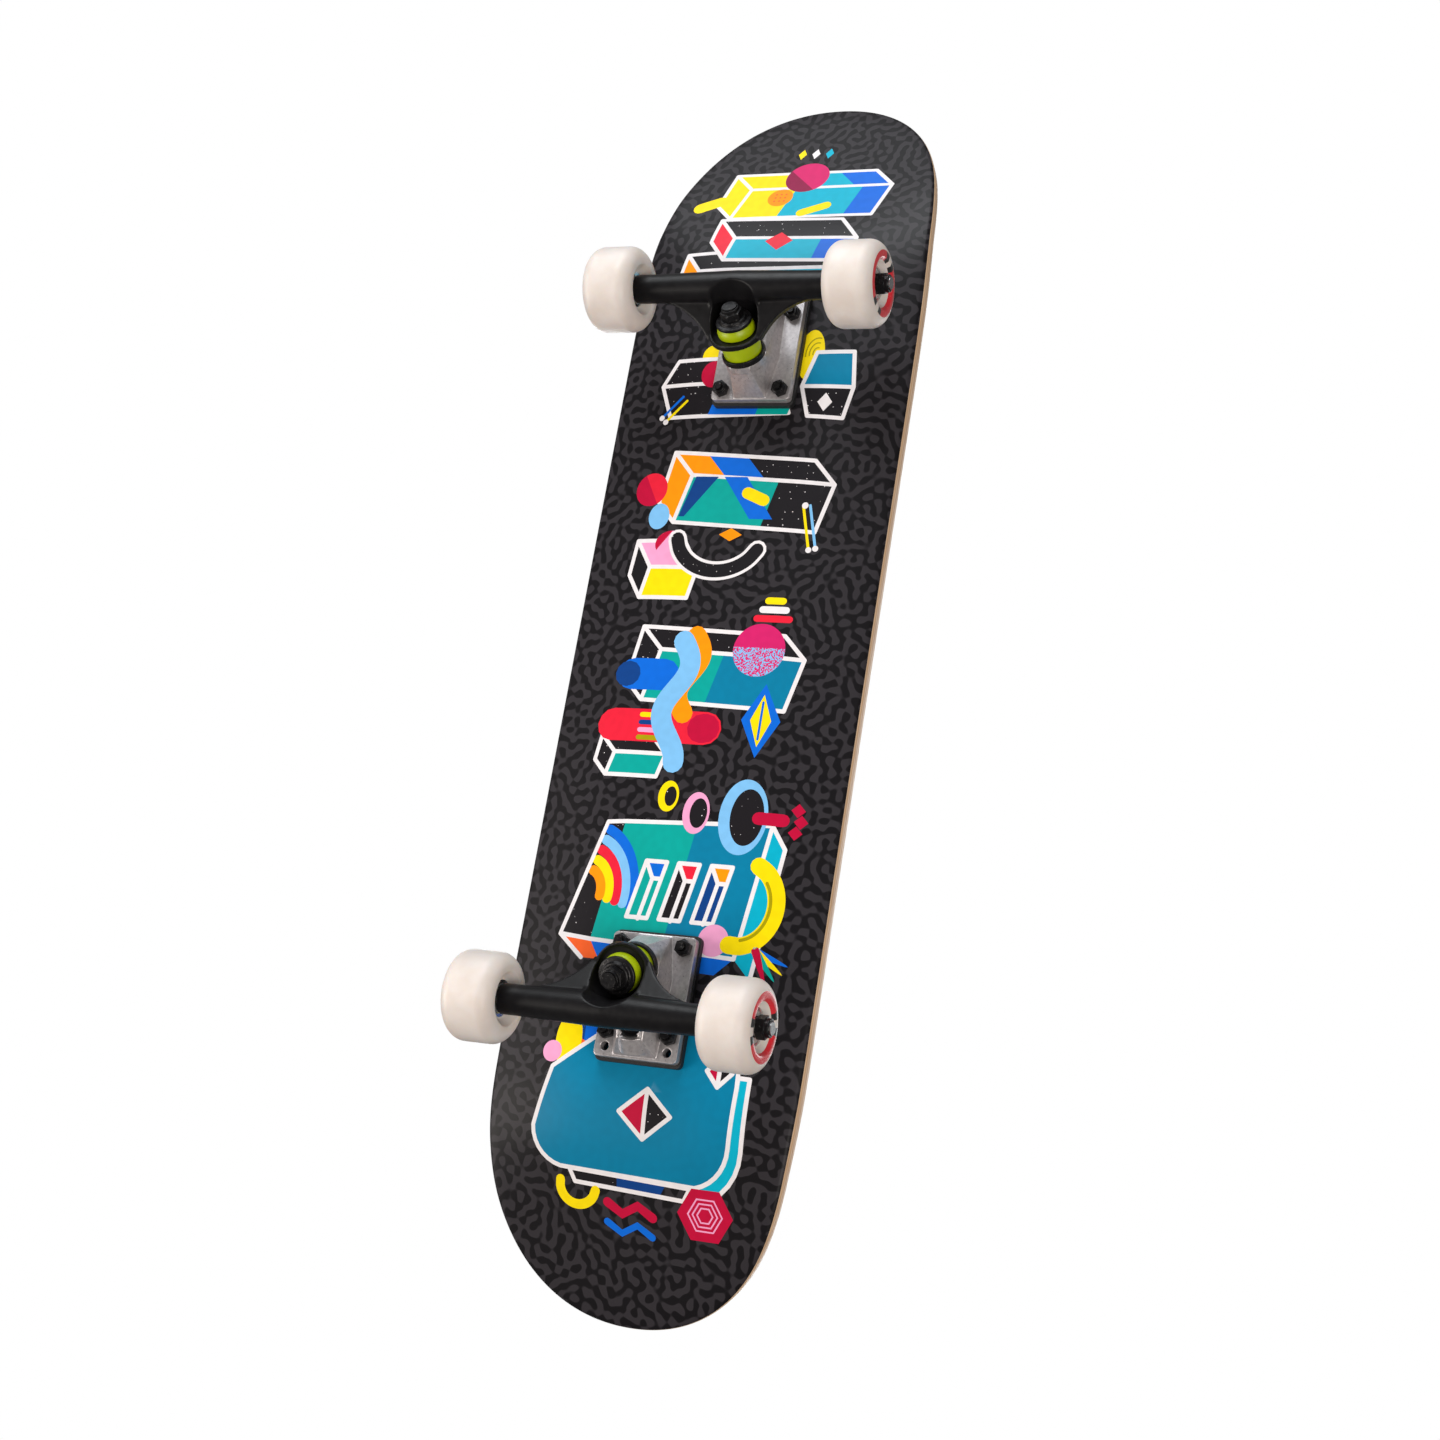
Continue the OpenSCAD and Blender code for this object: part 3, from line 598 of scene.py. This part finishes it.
def print_window_block():
    """A large block with three windows, a fan of arcs at its left and a bent tube at its right."""
    bottom, right_low = (-48, -182), (49, -186)
    paint("flame", [(-70, -181), bottom, (-40, -194), (-52, -194)])
    paint("blue", [bottom, right_low, (38, -197), (-40, -194)])
    panel([(-50, -107), (-38, -106), bottom, (-70, -180)], (1.0, "stars"))
    panel([(-38, -106), (60, -102), right_low, bottom], (0.5, "teal"), (1.0, "sea"))
    panel([(60, -102), (70, -116), (61, -198), right_low], (1.0, "cyan"))
    for reach, name in ((42, "blue"), (35, "sky"), (28, "red"), (21, "yellow"), (14, "orange")):
        ribbon(name, arc(-58, -152, reach * 0.8, reach, start=-10, end=72, steps=9), 6.4)
    outline_of([(-50, -107), (-38, -106), (60, -102), (70, -116), (61, -198)], closed=False)
    outline_of([(-50, -107), (-70, -180), bottom, right_low, (60, -102)], closed=False)
    outline_of([(-70, -180), (-52, -194)], closed=False)
    window(-19, -130, 14, 36, "blue", "teal", "teal")
    window(3, -130, 14, 36, "red", "stars", "stars")
    window(25, -130, 14, 36, "orange", "navy", "navy")
    disc("pink", 34, -176, 10)
    ribbon("yellow", arc(48, -152, 22, 26, start=-100, end=70, steps=10), 11)
    ribbon("mustard", arc(48, -152, 18.5, 22.5, start=-80, end=40, steps=10), 2)
    for turn, name in ((-18, "blue"), (-34, "yellow"), (-50, "teal"), (-66, "crimson")):
        spikes(name, 62, -180, [(turn, 22, 5)])


def print_rear_truck():
    """Bands and discs that show beside the rear truck."""
    panel([(-56, -232), (-24, -232), (-22, -258), (-56, -258)], (0.5, "navy"), (1.0, "blue"))
    ribbon("flame", [(-42, -246), (-14, -258)], 5, curved=False)
    disc("yellow", -50, -245, 9, 17)
    disc("pink", -60, -253, 6.6)


def print_tail_block():
    """A broad block with two rounded corners, a split diamond in it, and bars below it."""
    face = [(-58, -262), (-20, -232), (30, -226), (62, -226), (64, -262)]
    face += list(arc(36, -298, 27, 27, start=0, end=-75, steps=8))
    face += list(arc(-42, -298, 24, 24, start=-100, end=-178, steps=8))
    side = [(64, -256), (71, -256)] + list(arc(37, -300, 34, 34, start=0, end=-84, steps=8))
    side += list(arc(36, -298, 27, 27, start=-75, end=0, steps=8))
    paint("cyan", side)
    outline_of(side)
    paint("sea", face)
    outline_of(face)
    panel([(-40, -322), (24, -325), (20, -333), (-36, -330)], (0.5, "stars"), (1.0, "navy"))
    outline_of([(-40, -322), (40, -325), (36, -333), (-36, -330)])
    split_diamond(8, -284, 17, 15, "crimson", "stars")
    split_diamond(52, -254, 8, 9, "crimson", "stars")
    ribbon("yellow", arc(-34, -332, 12, 12, start=170, end=350, steps=9), 6)
    ribbon("crimson", [(-14, -340), (-4, -346), (6, -340), (16, -346)], 6, curved=False)
    ribbon("blue", [(-14, -352), (-4, -358), (6, -352), (16, -358)], 4.5, curved=False)


def print_hexagon():
    """A plain hexagon with rings inside it."""
    disc("crimson", 50, -340, 18, steps=6)
    disc("crimson", 50, -340, 16.6, steps=6)
    for reach in (11.6, 8.6, 5.6):
        disc("pink", 50, -340, reach, steps=6)
        disc("crimson", 50, -340, reach - 1.1, steps=6)


for draw in (print_nose, print_front_truck, print_middle, print_bars, print_window_block,
             print_hoops, print_rear_truck, print_tail_block, print_hexagon):
    draw()


# ---- Deck and grip tape --------------------------------------------------------

def skin(s, y, h):
    """Points at s along the deck, y across it and h above its underside, in millimetres."""
    s, y, h = np.broadcast_arrays(np.asarray(s, float), y, h)
    past = np.abs(s) - KICK_START
    bend = np.clip(past / KICK_R, 0, KICK_ANGLE)
    flat = np.maximum(0, past - KICK_R * KICK_ANGLE)
    along = np.minimum(np.abs(s), KICK_START) + KICK_R * np.sin(bend) + flat * math.cos(KICK_ANGLE)
    rise = KICK_R * (1 - np.cos(bend)) + flat * math.sin(KICK_ANGLE)
    bowl = (np.maximum(0, np.abs(y) - FLAT_HALF) / (HALF_W - FLAT_HALF)) ** 2
    fade = np.cos(math.pi / 2 * np.clip(past / CONCAVE_FADE, 0, 1)) ** 2
    up = h + CONCAVE * bowl * fade
    x = MID_X + np.sign(s) * (along - up * np.sin(bend))
    return np.stack([x, y, DECK_Z + rise + up * np.cos(bend)], -1)


def edge_loop(inset, count=EDGE_POINTS):
    """Points (y, s) around the deck's outline, evenly spaced, set in from it by a distance."""
    samples = 600
    turn = np.radians(np.linspace(0, 90, samples))
    across = HALF_W * np.cos(turn) ** (2 / TIP_POWER)
    nose = NOSE_TAPER + (NOSE_LEN - NOSE_TAPER) * np.sin(turn) ** (2 / NOSE_POWER)
    tail = -TAIL_TAPER - (TAIL_LEN - TAIL_TAPER) * np.sin(turn) ** (2 / TAIL_POWER)
    right = np.concatenate([np.stack([across, tail], 1)[::-1], np.stack([across, nose], 1)])
    loop = np.concatenate([right, (right * [-1, 1])[::-1]])
    gap = np.linalg.norm(np.diff(loop, axis=0, append=loop[:1]), axis=1)
    loop = loop[gap > 1e-6]
    run = np.concatenate([[0], np.cumsum(gap[gap > 1e-6])])
    closed = np.vstack([loop, loop[:1]])
    at = np.linspace(0, run[-1], count, endpoint=False)
    loop = np.stack([np.interp(at, run, closed[:, k]) for k in (0, 1)], 1)
    ahead = np.roll(loop, -1, 0) - np.roll(loop, 1, 0)
    inward = np.stack([-ahead[:, 1], ahead[:, 0]], 1) / np.linalg.norm(ahead, axis=1)[:, None]
    return loop + inward * inset


def refine(points):
    """The same closed shape, anticlockwise, with no edge longer than LONGEST_EDGE."""
    p = np.array(points, float)
    q = np.roll(p, -1, 0)
    if np.sum(p[:, 0] * q[:, 1] - p[:, 1] * q[:, 0]) < 0:
        points = list(points)[::-1]
    out = []
    for a, b in zip(points, list(points[1:]) + [points[0]]):
        a, b = np.array(a, float), np.array(b, float)
        parts = max(1, math.ceil(np.linalg.norm(b - a) / LONGEST_EDGE))
        out += [tuple(a + (b - a) * i / parts) for i in range(parts)]
    return out


def fill(loops, spots):
    """Triangles over the first loop, cut along the others. Returns the points, the triangles, each
    triangle's top loop, and where each loop's own points went."""
    points, faces = [], []
    for loop in loops:
        faces.append(list(range(len(points), len(points) + len(loop))))
        points += [Vector(p) for p in loop]
    points += [Vector(p) for p in spots]
    inside_only, join = 1, 1e-4
    flat, _, triangles, from_point, _, from_face = delaunay_2d_cdt(points, [], faces, inside_only, join)
    went = {old: new for new, olds in enumerate(from_point) for old in olds}
    kept = [(t, max(f)) for t, f in zip(triangles, from_face) if 0 in f]
    places = [[went[i] for i in face] for face in faces]
    return np.array([tuple(p) for p in flat]), [t for t, _ in kept], [f for _, f in kept], places


def grid_spots(step, margin):
    """Loose points on a grid inside the outline, and clear of its edge."""
    loop = edge_loop(margin, EDGE_POINTS // 2)
    beside = 6.0
    spots = []
    for s in np.arange(-TAIL_LEN, NOSE_LEN, step):
        crossing = loop[(np.abs(loop[:, 1] - s) < beside) & (loop[:, 0] > 0)]
        reach = crossing[:, 0].min() if len(crossing) else 0.0
        # Near the tips a row would shrink to two points that nearly meet
        if reach > step / 2:
            count = max(2, int(2 * reach / step))
            spots += [(y, s) for y in np.linspace(-reach, reach, count)]
    return spots


def make_mesh(name, points, faces, materials, picks=None):
    """A smooth-shaded mesh object from points in millimetres."""
    mesh = bpy.data.meshes.new(name)
    mesh.from_pydata((np.asarray(points) * MM).tolist(), [], faces)
    for mat in materials:
        mesh.materials.append(mat)
    if picks is not None:
        mesh.polygons.foreach_set("material_index", picks)
    mesh.shade_smooth()
    mesh.update()
    piece = bpy.data.objects.new(name, mesh)
    bpy.context.scene.collection.objects.link(piece)
    return piece


def bolt_places():
    """(y, s) of the eight mounting bolts."""
    for end in ENDS:
        centre = bolts_at[end].x - MID_X
        for x in (-0.5, 0.5):
            for y in (-0.5, 0.5):
                yield y * BOLT_Y, centre + x * BOLT_X


def walls(lower, upper):
    """Quads between two loops of points with the same count, given by their numbers."""
    n = len(lower)
    return [[lower[i], upper[i], upper[(i + 1) % n], lower[(i + 1) % n]] for i in range(n)]


def edge_rings():
    """(inset, height) of the rings that round the deck's edge, from its underside to its top."""
    rings, bottom_steps, top_steps = [], 6, 5
    for angle in np.radians(np.linspace(0, 90, bottom_steps)):
        rings.append((BOTTOM_EDGE_R * (1 - math.sin(angle)), BOTTOM_EDGE_R * (1 - math.cos(angle))))
    for angle in np.radians(np.linspace(0, 90, top_steps)):
        rings.append((TOP_EDGE_R * (1 - math.cos(angle)), DECK_T - TOP_EDGE_R * (1 - math.sin(angle))))
    return rings


def bolt_holes(room):
    """The outlines of the eight bolt heads, with some room."""
    return [arc(y, s, BOLT_HEAD_R + room, steps=HOLE_STEPS) for y, s in bolt_places()]


class Skin:
    """Points laid on the deck's curve, with the height of each, and the faces between them."""

    def __init__(self):
        self.points, self.heights, self.faces, self.picks = [], [], [], []

    def lay(self, flat, height):
        """Adds points at one height, and returns their numbers."""
        start = sum(len(run) for run in self.heights)
        self.points.append(skin(flat[:, 1], flat[:, 0], height))
        self.heights.append(np.full(len(flat), height))
        return list(range(start, start + len(flat)))

    def close(self, faces, pick):
        """Adds faces that share one material."""
        self.faces += faces
        self.picks += [pick] * len(faces)


def lay_top(deck, inset, rim, pick):
    """The deck's plain top inside its rim, with the countersunk holes."""
    loops = [edge_loop(inset)] + bolt_holes(HOLE_ROOM)
    flat, triangles, tops, places = fill(loops, grid_spots(TOP_GRID, TOP_MARGIN))
    top = deck.lay(flat, DECK_T)
    shared = dict(zip((top[i] for i in places[0]), rim))
    kept = [t[::-1] for t, k in zip(triangles, tops) if k == 0]
    deck.close([[shared.get(top[i], top[i]) for i in t] for t in kept], pick)
    for hole, (y, s) in zip(places[1:], bolt_places()):
        floor = deck.lay(arc(y, s, SINK_R, steps=HOLE_STEPS), DECK_T - SINK_DEPTH)
        deck.close(walls([top[i] for i in hole], floor) + [floor[::-1]], pick)


def make_deck():
    """One closed body: printed underside, rounded ply edge, and a plain top with countersunk holes."""
    names = sorted(set(name for name, _ in PRINT) | {"maze"})
    painted = ["maze"] + [name for name, _ in PRINT]
    rings, bare = edge_rings(), len(names)
    deck = Skin()

    loops = [edge_loop(rings[0][0])] + [refine(shape) for _, shape in PRINT]
    flat, triangles, tops, places = fill(loops, grid_spots(PRINT_GRID, PRINT_MARGIN))
    deck.lay(flat, 0.0)
    for triangle, k in zip(triangles, tops):
        deck.close([list(triangle)], names.index(painted[k]))

    rim = places[0]
    for inset, height in rings[1:]:
        ring = deck.lay(edge_loop(inset), height)
        deck.close(walls(rim, ring), names.index("maze") if height < INK_WRAP else bare)
        rim = ring
    lay_top(deck, rings[-1][0], rim, bare)

    materials = [ink[name] for name in names] + [maple]
    piece = make_mesh("deck_laminate", np.concatenate(deck.points), deck.faces, materials, deck.picks)
    ply = piece.data.attributes.new("ply", "FLOAT", "POINT")
    ply.data.foreach_set("value", np.concatenate(deck.heights).astype(np.float32) / DECK_T)
    return piece


def make_grip():
    """The grip tape: a thin sheet with eight holes and a slightly turned-down rim."""
    loops = [edge_loop(GRIP_INSET + RIM_WIDTH)] + bolt_holes(GRIP_ROOM)
    flat, triangles, tops, places = fill(loops, grid_spots(TOP_GRID, TOP_MARGIN))
    kept = [t for t, k in zip(triangles, tops) if k == 0]
    sheet, outline = Skin(), edge_loop(GRIP_INSET)
    top = sheet.lay(flat, DECK_T + GRIP_T)
    low = sheet.lay(flat, DECK_T - BEDDED)
    turned_down = sheet.lay(outline, DECK_T + GRIP_T - RIM_FALL)
    skirt = sheet.lay(outline, DECK_T - SKIRT)
    faces = [[top[i] for i in t[::-1]] for t in kept] + [[low[i] for i in t] for t in kept]
    faces += walls([low[i] for i in places[0]], skirt)
    faces += walls(skirt, turned_down)
    faces += walls(turned_down, places[0])
    for hole in places[1:]:
        faces += walls(hole, [low[i] for i in hole])
    return make_mesh("grip_tape_sheet", np.concatenate(sheet.points), faces, [grit])


# ---- Turned pieces ---------------------------------------------------------------

def turned(name, profile, where, materials, pick=None, segments=WHEEL_SEGMENTS):
    """A closed ring turned about the local Z axis. profile is (radius, z) points around its section,
    where places it, and pick(point of the section, angle in degrees) chooses each face's material."""
    angles = np.arange(segments) * 2 * math.pi / segments
    points = [[r * math.cos(a), r * math.sin(a), z] for a in angles for r, z in profile]
    points = [tuple(where @ Vector(p)) for p in points]
    count = len(profile)
    faces, picks = [], []
    for i in range(segments):
        following = (i + 1) % segments
        for k in range(count):
            m = (k + 1) % count
            faces.append([i * count + k, following * count + k, following * count + m, i * count + m])
            middle = [(profile[k][j] + profile[m][j]) / 2 for j in (0, 1)]
            picks.append(pick(middle, math.degrees(angles[i])) if pick else 0)
    return make_mesh(name, points, faces, materials, picks)


def bend(r, z, radius, start, end, steps=6):
    """Points of a rounded corner in a section: the arc's centre, radius and angles in degrees."""
    return [(r + radius * math.cos(a), z + radius * math.sin(a))
            for a in np.radians(np.linspace(start, end, steps))]


# ---- Wheels --------------------------------------------------------------------

# The printed ring: its radii, the angles of a black block and of the bare gap between two, and where
# each wheel stopped turning: the left pair as in the photo, the right pair out of its sight
PRINT_IN, PRINT_OUT, PRINT_ABOVE = 14.6, 20.6, HUB_HALF + 0.4
BLOCK, GAP = 15, 15
GAP_TURN = {"front_right": 40.0, "rear_right": 140.0, "front_left": 165.4, "rear_left": 107.6}


def wheel_half():
    """Half the wheel's section from the core out to the tread's middle, on the outer side."""
    eased = 0.3
    half = [(CORE_R, 0.0), (CORE_R, SHELF), (BEARING_R, SHELF), (BEARING_R, HUB_HALF - 0.4)]
    half += [(BEARING_R + eased, HUB_HALF), (RECESS_FLOOR_R - eased, HUB_HALF)]
    half += [(RECESS_FLOOR_R + eased, HUB_HALF + eased)]
    floor, rim = np.array(half[-1]), np.array([RECESS_R - 0.7, WHEEL_HALF - 0.8])
    half += [tuple(floor + (rim - floor) * t) for t in (0.3, 0.7)]
    half += [tuple(rim), (RECESS_R - 0.35, WHEEL_HALF - 0.35), (RECESS_R + 0.2, WHEEL_HALF - 0.05)]
    half += [(RECESS_R + 1.0, WHEEL_HALF)]
    # The shoulder in two runs, which meet at the printed ring's outer edge
    half += bend(WHEEL_R - SHOULDER_R, TREAD_HALF, SHOULDER_R, 90, 79.2, 3)
    half += bend(WHEEL_R - SHOULDER_R, TREAD_HALF, SHOULDER_R, 77, 0, 16)
    return half + [(WHEEL_R, 4.0)]


def make_wheel(corner, low, high):
    """A urethane wheel with a printed ring on its outer side, between low and high across the board."""
    centre = (low + high) / 2 / MM
    outward = 1 if centre.y > 0 else -1
    half = wheel_half()
    section = half + [(WHEEL_R, 0.0)] + [(r, -z) for r, z in half[:0:-1]]
    turn = Matrix.Rotation(-outward * math.pi / 2, 4, "X")
    where = Matrix.Translation(centre) @ turn
    gap_at, half_step = GAP_TURN[corner], 180 / WHEEL_SEGMENTS

    def pick(middle, angle):
        r, z = middle
        if z < PRINT_ABOVE or not PRINT_IN < r < PRINT_OUT:
            return 0
        off = abs((angle + half_step - gap_at + 90) % 180 - 90)
        if off < GAP / 2:
            return 0
        return 2 if off < GAP / 2 + BLOCK else 1

    inks = [ivory, wheel_ink("red", "#D8202E"), wheel_ink("black", "#1A1A1C")]
    return turned(corner + "_wheel_urethane", section, where, inks, pick)


# ---- Bushings --------------------------------------------------------------------

def kingpin_frame(end):
    """The middle of the hanger's ring, with Z along the kingpin towards its nut."""
    centre = bolts_at[end].x
    ring = Vector((centre + ENDS[end] * RING_OUT, 0, DECK_Z - RING_DOWN))
    along = Vector((ENDS[end] * math.sin(KINGPIN_LEAN), 0, -math.cos(KINGPIN_LEAN)))
    return Matrix.Translation(ring) @ along.to_track_quat("Z", "Y").to_matrix().to_4x4()


def make_bushing(end, name, z0, z1, r0, r1):
    """A barrel bushing pressed between two seats, so that its side swells a little."""
    round_r, swell, rows = 0.9, 0.45, 12
    low = bend(r0 - round_r, z0 + round_r, round_r, -90, 0)
    high = bend(r1 - round_r, z1 - round_r, round_r, 0, 90)
    side = []
    for t in np.linspace(0, 1, rows)[1:-1]:
        r = r0 + (r1 - r0) * t + swell * math.sin(math.pi * t)
        side.append((r, z0 + round_r + (z1 - z0 - 2 * round_r) * t))
    section = [(KINGPIN_R, z0)] + low + side + high + [(KINGPIN_R, z1)]
    where = kingpin_frame(end)
    piece = turned(f"{end}_{name}_urethane", section, where, [lime], segments=96)
    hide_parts(f"{end}_{name}")
    ends = [tuple(where @ Vector((0, 0, z)) * MM) for z in (z0, z1)]
    if abs(z0) < abs(z1):
        ends.reverse()
    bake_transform(piece)
    return piece


# ---- CAD nodes -------------------------------------------------------------------

# Cast parts: (voxel in millimetres, smoothing passes). Machined parts: the width of their edges
CAST = {"hanger": (0.6, 7), "baseplate": (0.4, 2)}
EDGED = {"riser_pad": 0.6, "kingpin_nut": 0.35, "mounting_nuts": 0.3, "mounting_bolts": 0.2,
         "axle_nuts": 0.35, "outer_washer": 0.7, "inner_washer": 0.5, "kingpin": 0.4, "axle": 0.5,
         "speed_washers": 0.15}
SAME_POINT, SHARP = 0.001, math.radians(35)


def cast_look(node, voxel, passes):
    """Rounds every edge of a cast part a little, as sand casting and paint do."""
    remesh = node.modifiers.new("cast skin", "REMESH")
    remesh.mode = "VOXEL"
    remesh.voxel_size = voxel * MM
    remesh.use_smooth_shade = True
    soften = node.modifiers.new("soft edges", "SMOOTH")
    soften.factor = 0.5
    soften.iterations = passes


def edged_look(node, width):
    """Small rounded edges on a machined part."""
    weld = node.modifiers.new("weld", "WELD")
    weld.merge_threshold = SAME_POINT * MM
    bevel = node.modifiers.new("edges", "BEVEL")
    bevel.width = width * MM
    bevel.segments = 2
    bevel.limit_method = "ANGLE"
    bevel.angle_limit = SHARP
    node.modifiers.new("shading", "WEIGHTED_NORMAL")


def finish_for(name):
    """The material of a CAD node, by what kind of piece it is."""
    kind = name.split("_", 1)[1]
    # The first key that the name holds decides, so the order of FINISHES matters
    for key, mat in FINISHES.items():
        if key in kind and not (key == "axle" and "nuts" in kind):
            return mat
    if "speed_washers" in kind:
        return FINISHES["axle"]
    return FINISHES["black"]


def dress_nodes():
    """Gives every CAD node that stays its material and its edges."""
    for name, node in nodes.items():
        if name in ("deck", "grip_tape") or name.endswith(("_wheel", "_bushing")):
            continue
        node.data.materials.clear()
        node.data.materials.append(finish_for(name))
        kind = name.split("_", 1)[1]
        if kind in CAST:
            cast_look(node, *CAST[kind])
        elif kind in EDGED:
            edged_look(node, EDGED[kind])


# ---- Light, floor and camera --------------------------------------------------------

def soft_light(name, at, towards, size, power, tint):
    """A large soft panel that the camera doesn't see."""
    light = bpy.data.lights.new(name, "AREA")
    light.shape = "RECTANGLE"
    light.size, light.size_y = size
    light.energy = power
    light.color = tint
    lamp = bpy.data.objects.new(name, light)
    bpy.context.scene.collection.objects.link(lamp)
    lamp.location = at
    lamp.rotation_euler = (Vector(towards) - Vector(at)).to_track_quat("-Z", "Y").to_euler()
    lamp.visible_camera = False


def white_world():
    """A white background, with less light than it shows."""
    world = bpy.data.worlds.new("studio")
    bpy.context.scene.world = world
    world.use_nodes = True
    tree = world.node_tree
    seen = tree.nodes["Background"]
    seen.inputs["Color"].default_value = (1, 1, 1, 1)
    seen.inputs["Strength"].default_value = 1.0
    given = tree.nodes.new("ShaderNodeBackground")
    given.inputs["Color"].default_value = (1.0, 0.985, 0.97, 1)
    given.inputs["Strength"].default_value = 0.19
    path = tree.nodes.new("ShaderNodeLightPath")
    choose = tree.nodes.new("ShaderNodeMixShader")
    tree.links.new(path.outputs["Is Camera Ray"], choose.inputs[0])
    tree.links.new(given.outputs[0], choose.inputs[1])
    tree.links.new(seen.outputs[0], choose.inputs[2])
    tree.links.new(choose.outputs[0], tree.nodes["World Output"].inputs[0])


PAPER, PAPER_GLOW, FLOOR_REACH = "#F1F0EE", 0.45, 3.0


def make_floor():
    """A pale floor that shows from above only, because the view is from below it."""
    mesh = bpy.data.meshes.new("floor")
    reach = FLOOR_REACH
    mesh.from_pydata([(-reach, -reach, 0), (reach, -reach, 0), (reach, reach, 0), (-reach, reach, 0)],
                     [], [[0, 1, 2, 3]])
    floor = bpy.data.objects.new("floor", mesh)
    bpy.context.scene.collection.objects.link(floor)
    mat, shader = principled(
        "floor_paper", PAPER, 0.9, Emission_Color=linear(PAPER), Emission_Strength=PAPER_GLOW)
    tone = remap(mat, noise(mat, 400), 0.3, 0.7)
    colour_by(mat, shader, mix(mat, tone, linear(PAPER, 0.5), linear(PAPER, 0.48)))
    under = add(mat, "NewGeometry").outputs["Backfacing"]
    clear = add(mat, "BsdfTransparent").outputs[0]
    pair = add(mat, "MixShader", {0: under, 1: shader.outputs[0], 2: clear}).outputs[0]
    mat.node_tree.links.new(pair, mat.node_tree.nodes["Material Output"].inputs["Surface"])
    mesh.materials.append(mat)
    floor.visible_diffuse = floor.visible_glossy = False
    floor.visible_transmission = floor.visible_shadow = False


CAMERA_AT = Vector((-412.4, 572.2, -1165.1)) * MM
CAMERA_AIM = Vector((-59.2, 50.1, 28.8)) * MM
CAMERA_UP = Vector((0.9516, -0.0498, -0.3033))
CAMERA_LENS, CAMERA_SHIFT = 56.74, (-0.013, -0.0056)


def make_camera():
    """The photo's view, from the fit of the camera to the board."""
    data = bpy.data.cameras.new("camera")
    data.sensor_width = 36
    data.lens = CAMERA_LENS
    data.shift_x, data.shift_y = CAMERA_SHIFT
    data.clip_start, data.clip_end = 0.05, 50
    camera = bpy.data.objects.new("camera", data)
    bpy.context.scene.collection.objects.link(camera)
    ahead = (CAMERA_AIM - CAMERA_AT).normalized()
    right = ahead.cross(CAMERA_UP).normalized()
    camera.matrix_world = Matrix.Translation(CAMERA_AT) @ Matrix(
        (right, right.cross(ahead), -ahead)).transposed().to_4x4()
    bpy.context.scene.camera = camera


COOL, WARM = (0.94, 0.98, 1.0), (1.0, 0.94, 0.87)


def light_scene():
    """White surroundings and four soft panels, cool from the nose and above and warm from the rest."""
    white_world()
    soft_light("key_nose", (1.9, -0.35, -1.2), (0.05, 0, 0.05), (1.5, 1.5), 46, COOL)
    soft_light("fill_camera", (-0.9, 1.5, -1.5), (0, 0, 0.05), (1.4, 1.4), 35, WARM)
    soft_light("fill_tail", (-0.6, -1.6, -1.0), (-0.1, 0, 0.05), (1.2, 1.2), 27, WARM)
    soft_light("top", (0.3, -0.4, 2.0), (0, 0, 0), (2.0, 2.0), 45, COOL)
    bpy.context.scene.view_settings.view_transform = "Standard"


# ---- Everything together ---------------------------------------------------------

make_camera()
light_scene()
make_floor()
dress_nodes()

deck = make_deck()
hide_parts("deck")
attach(deck, "board")

grip = make_grip()
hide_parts("grip_tape")
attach(grip, "board")

for end in ENDS:
    make_bushing(end, "inner_bushing", -INNER_STACK, -SEAT, BUSHING_R, BUSHING_R)
    make_bushing(end, "outer_bushing", SEAT, OUTER_STACK, BUSHING_R, BUSHING_TOP_R)
    for side in SIDES:
        corner = f"{end}_{side}"
        wheel = make_wheel(corner, *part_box(corner + "_wheel"))
        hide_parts(corner + "_wheel")
        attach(wheel, corner + "_wheel")
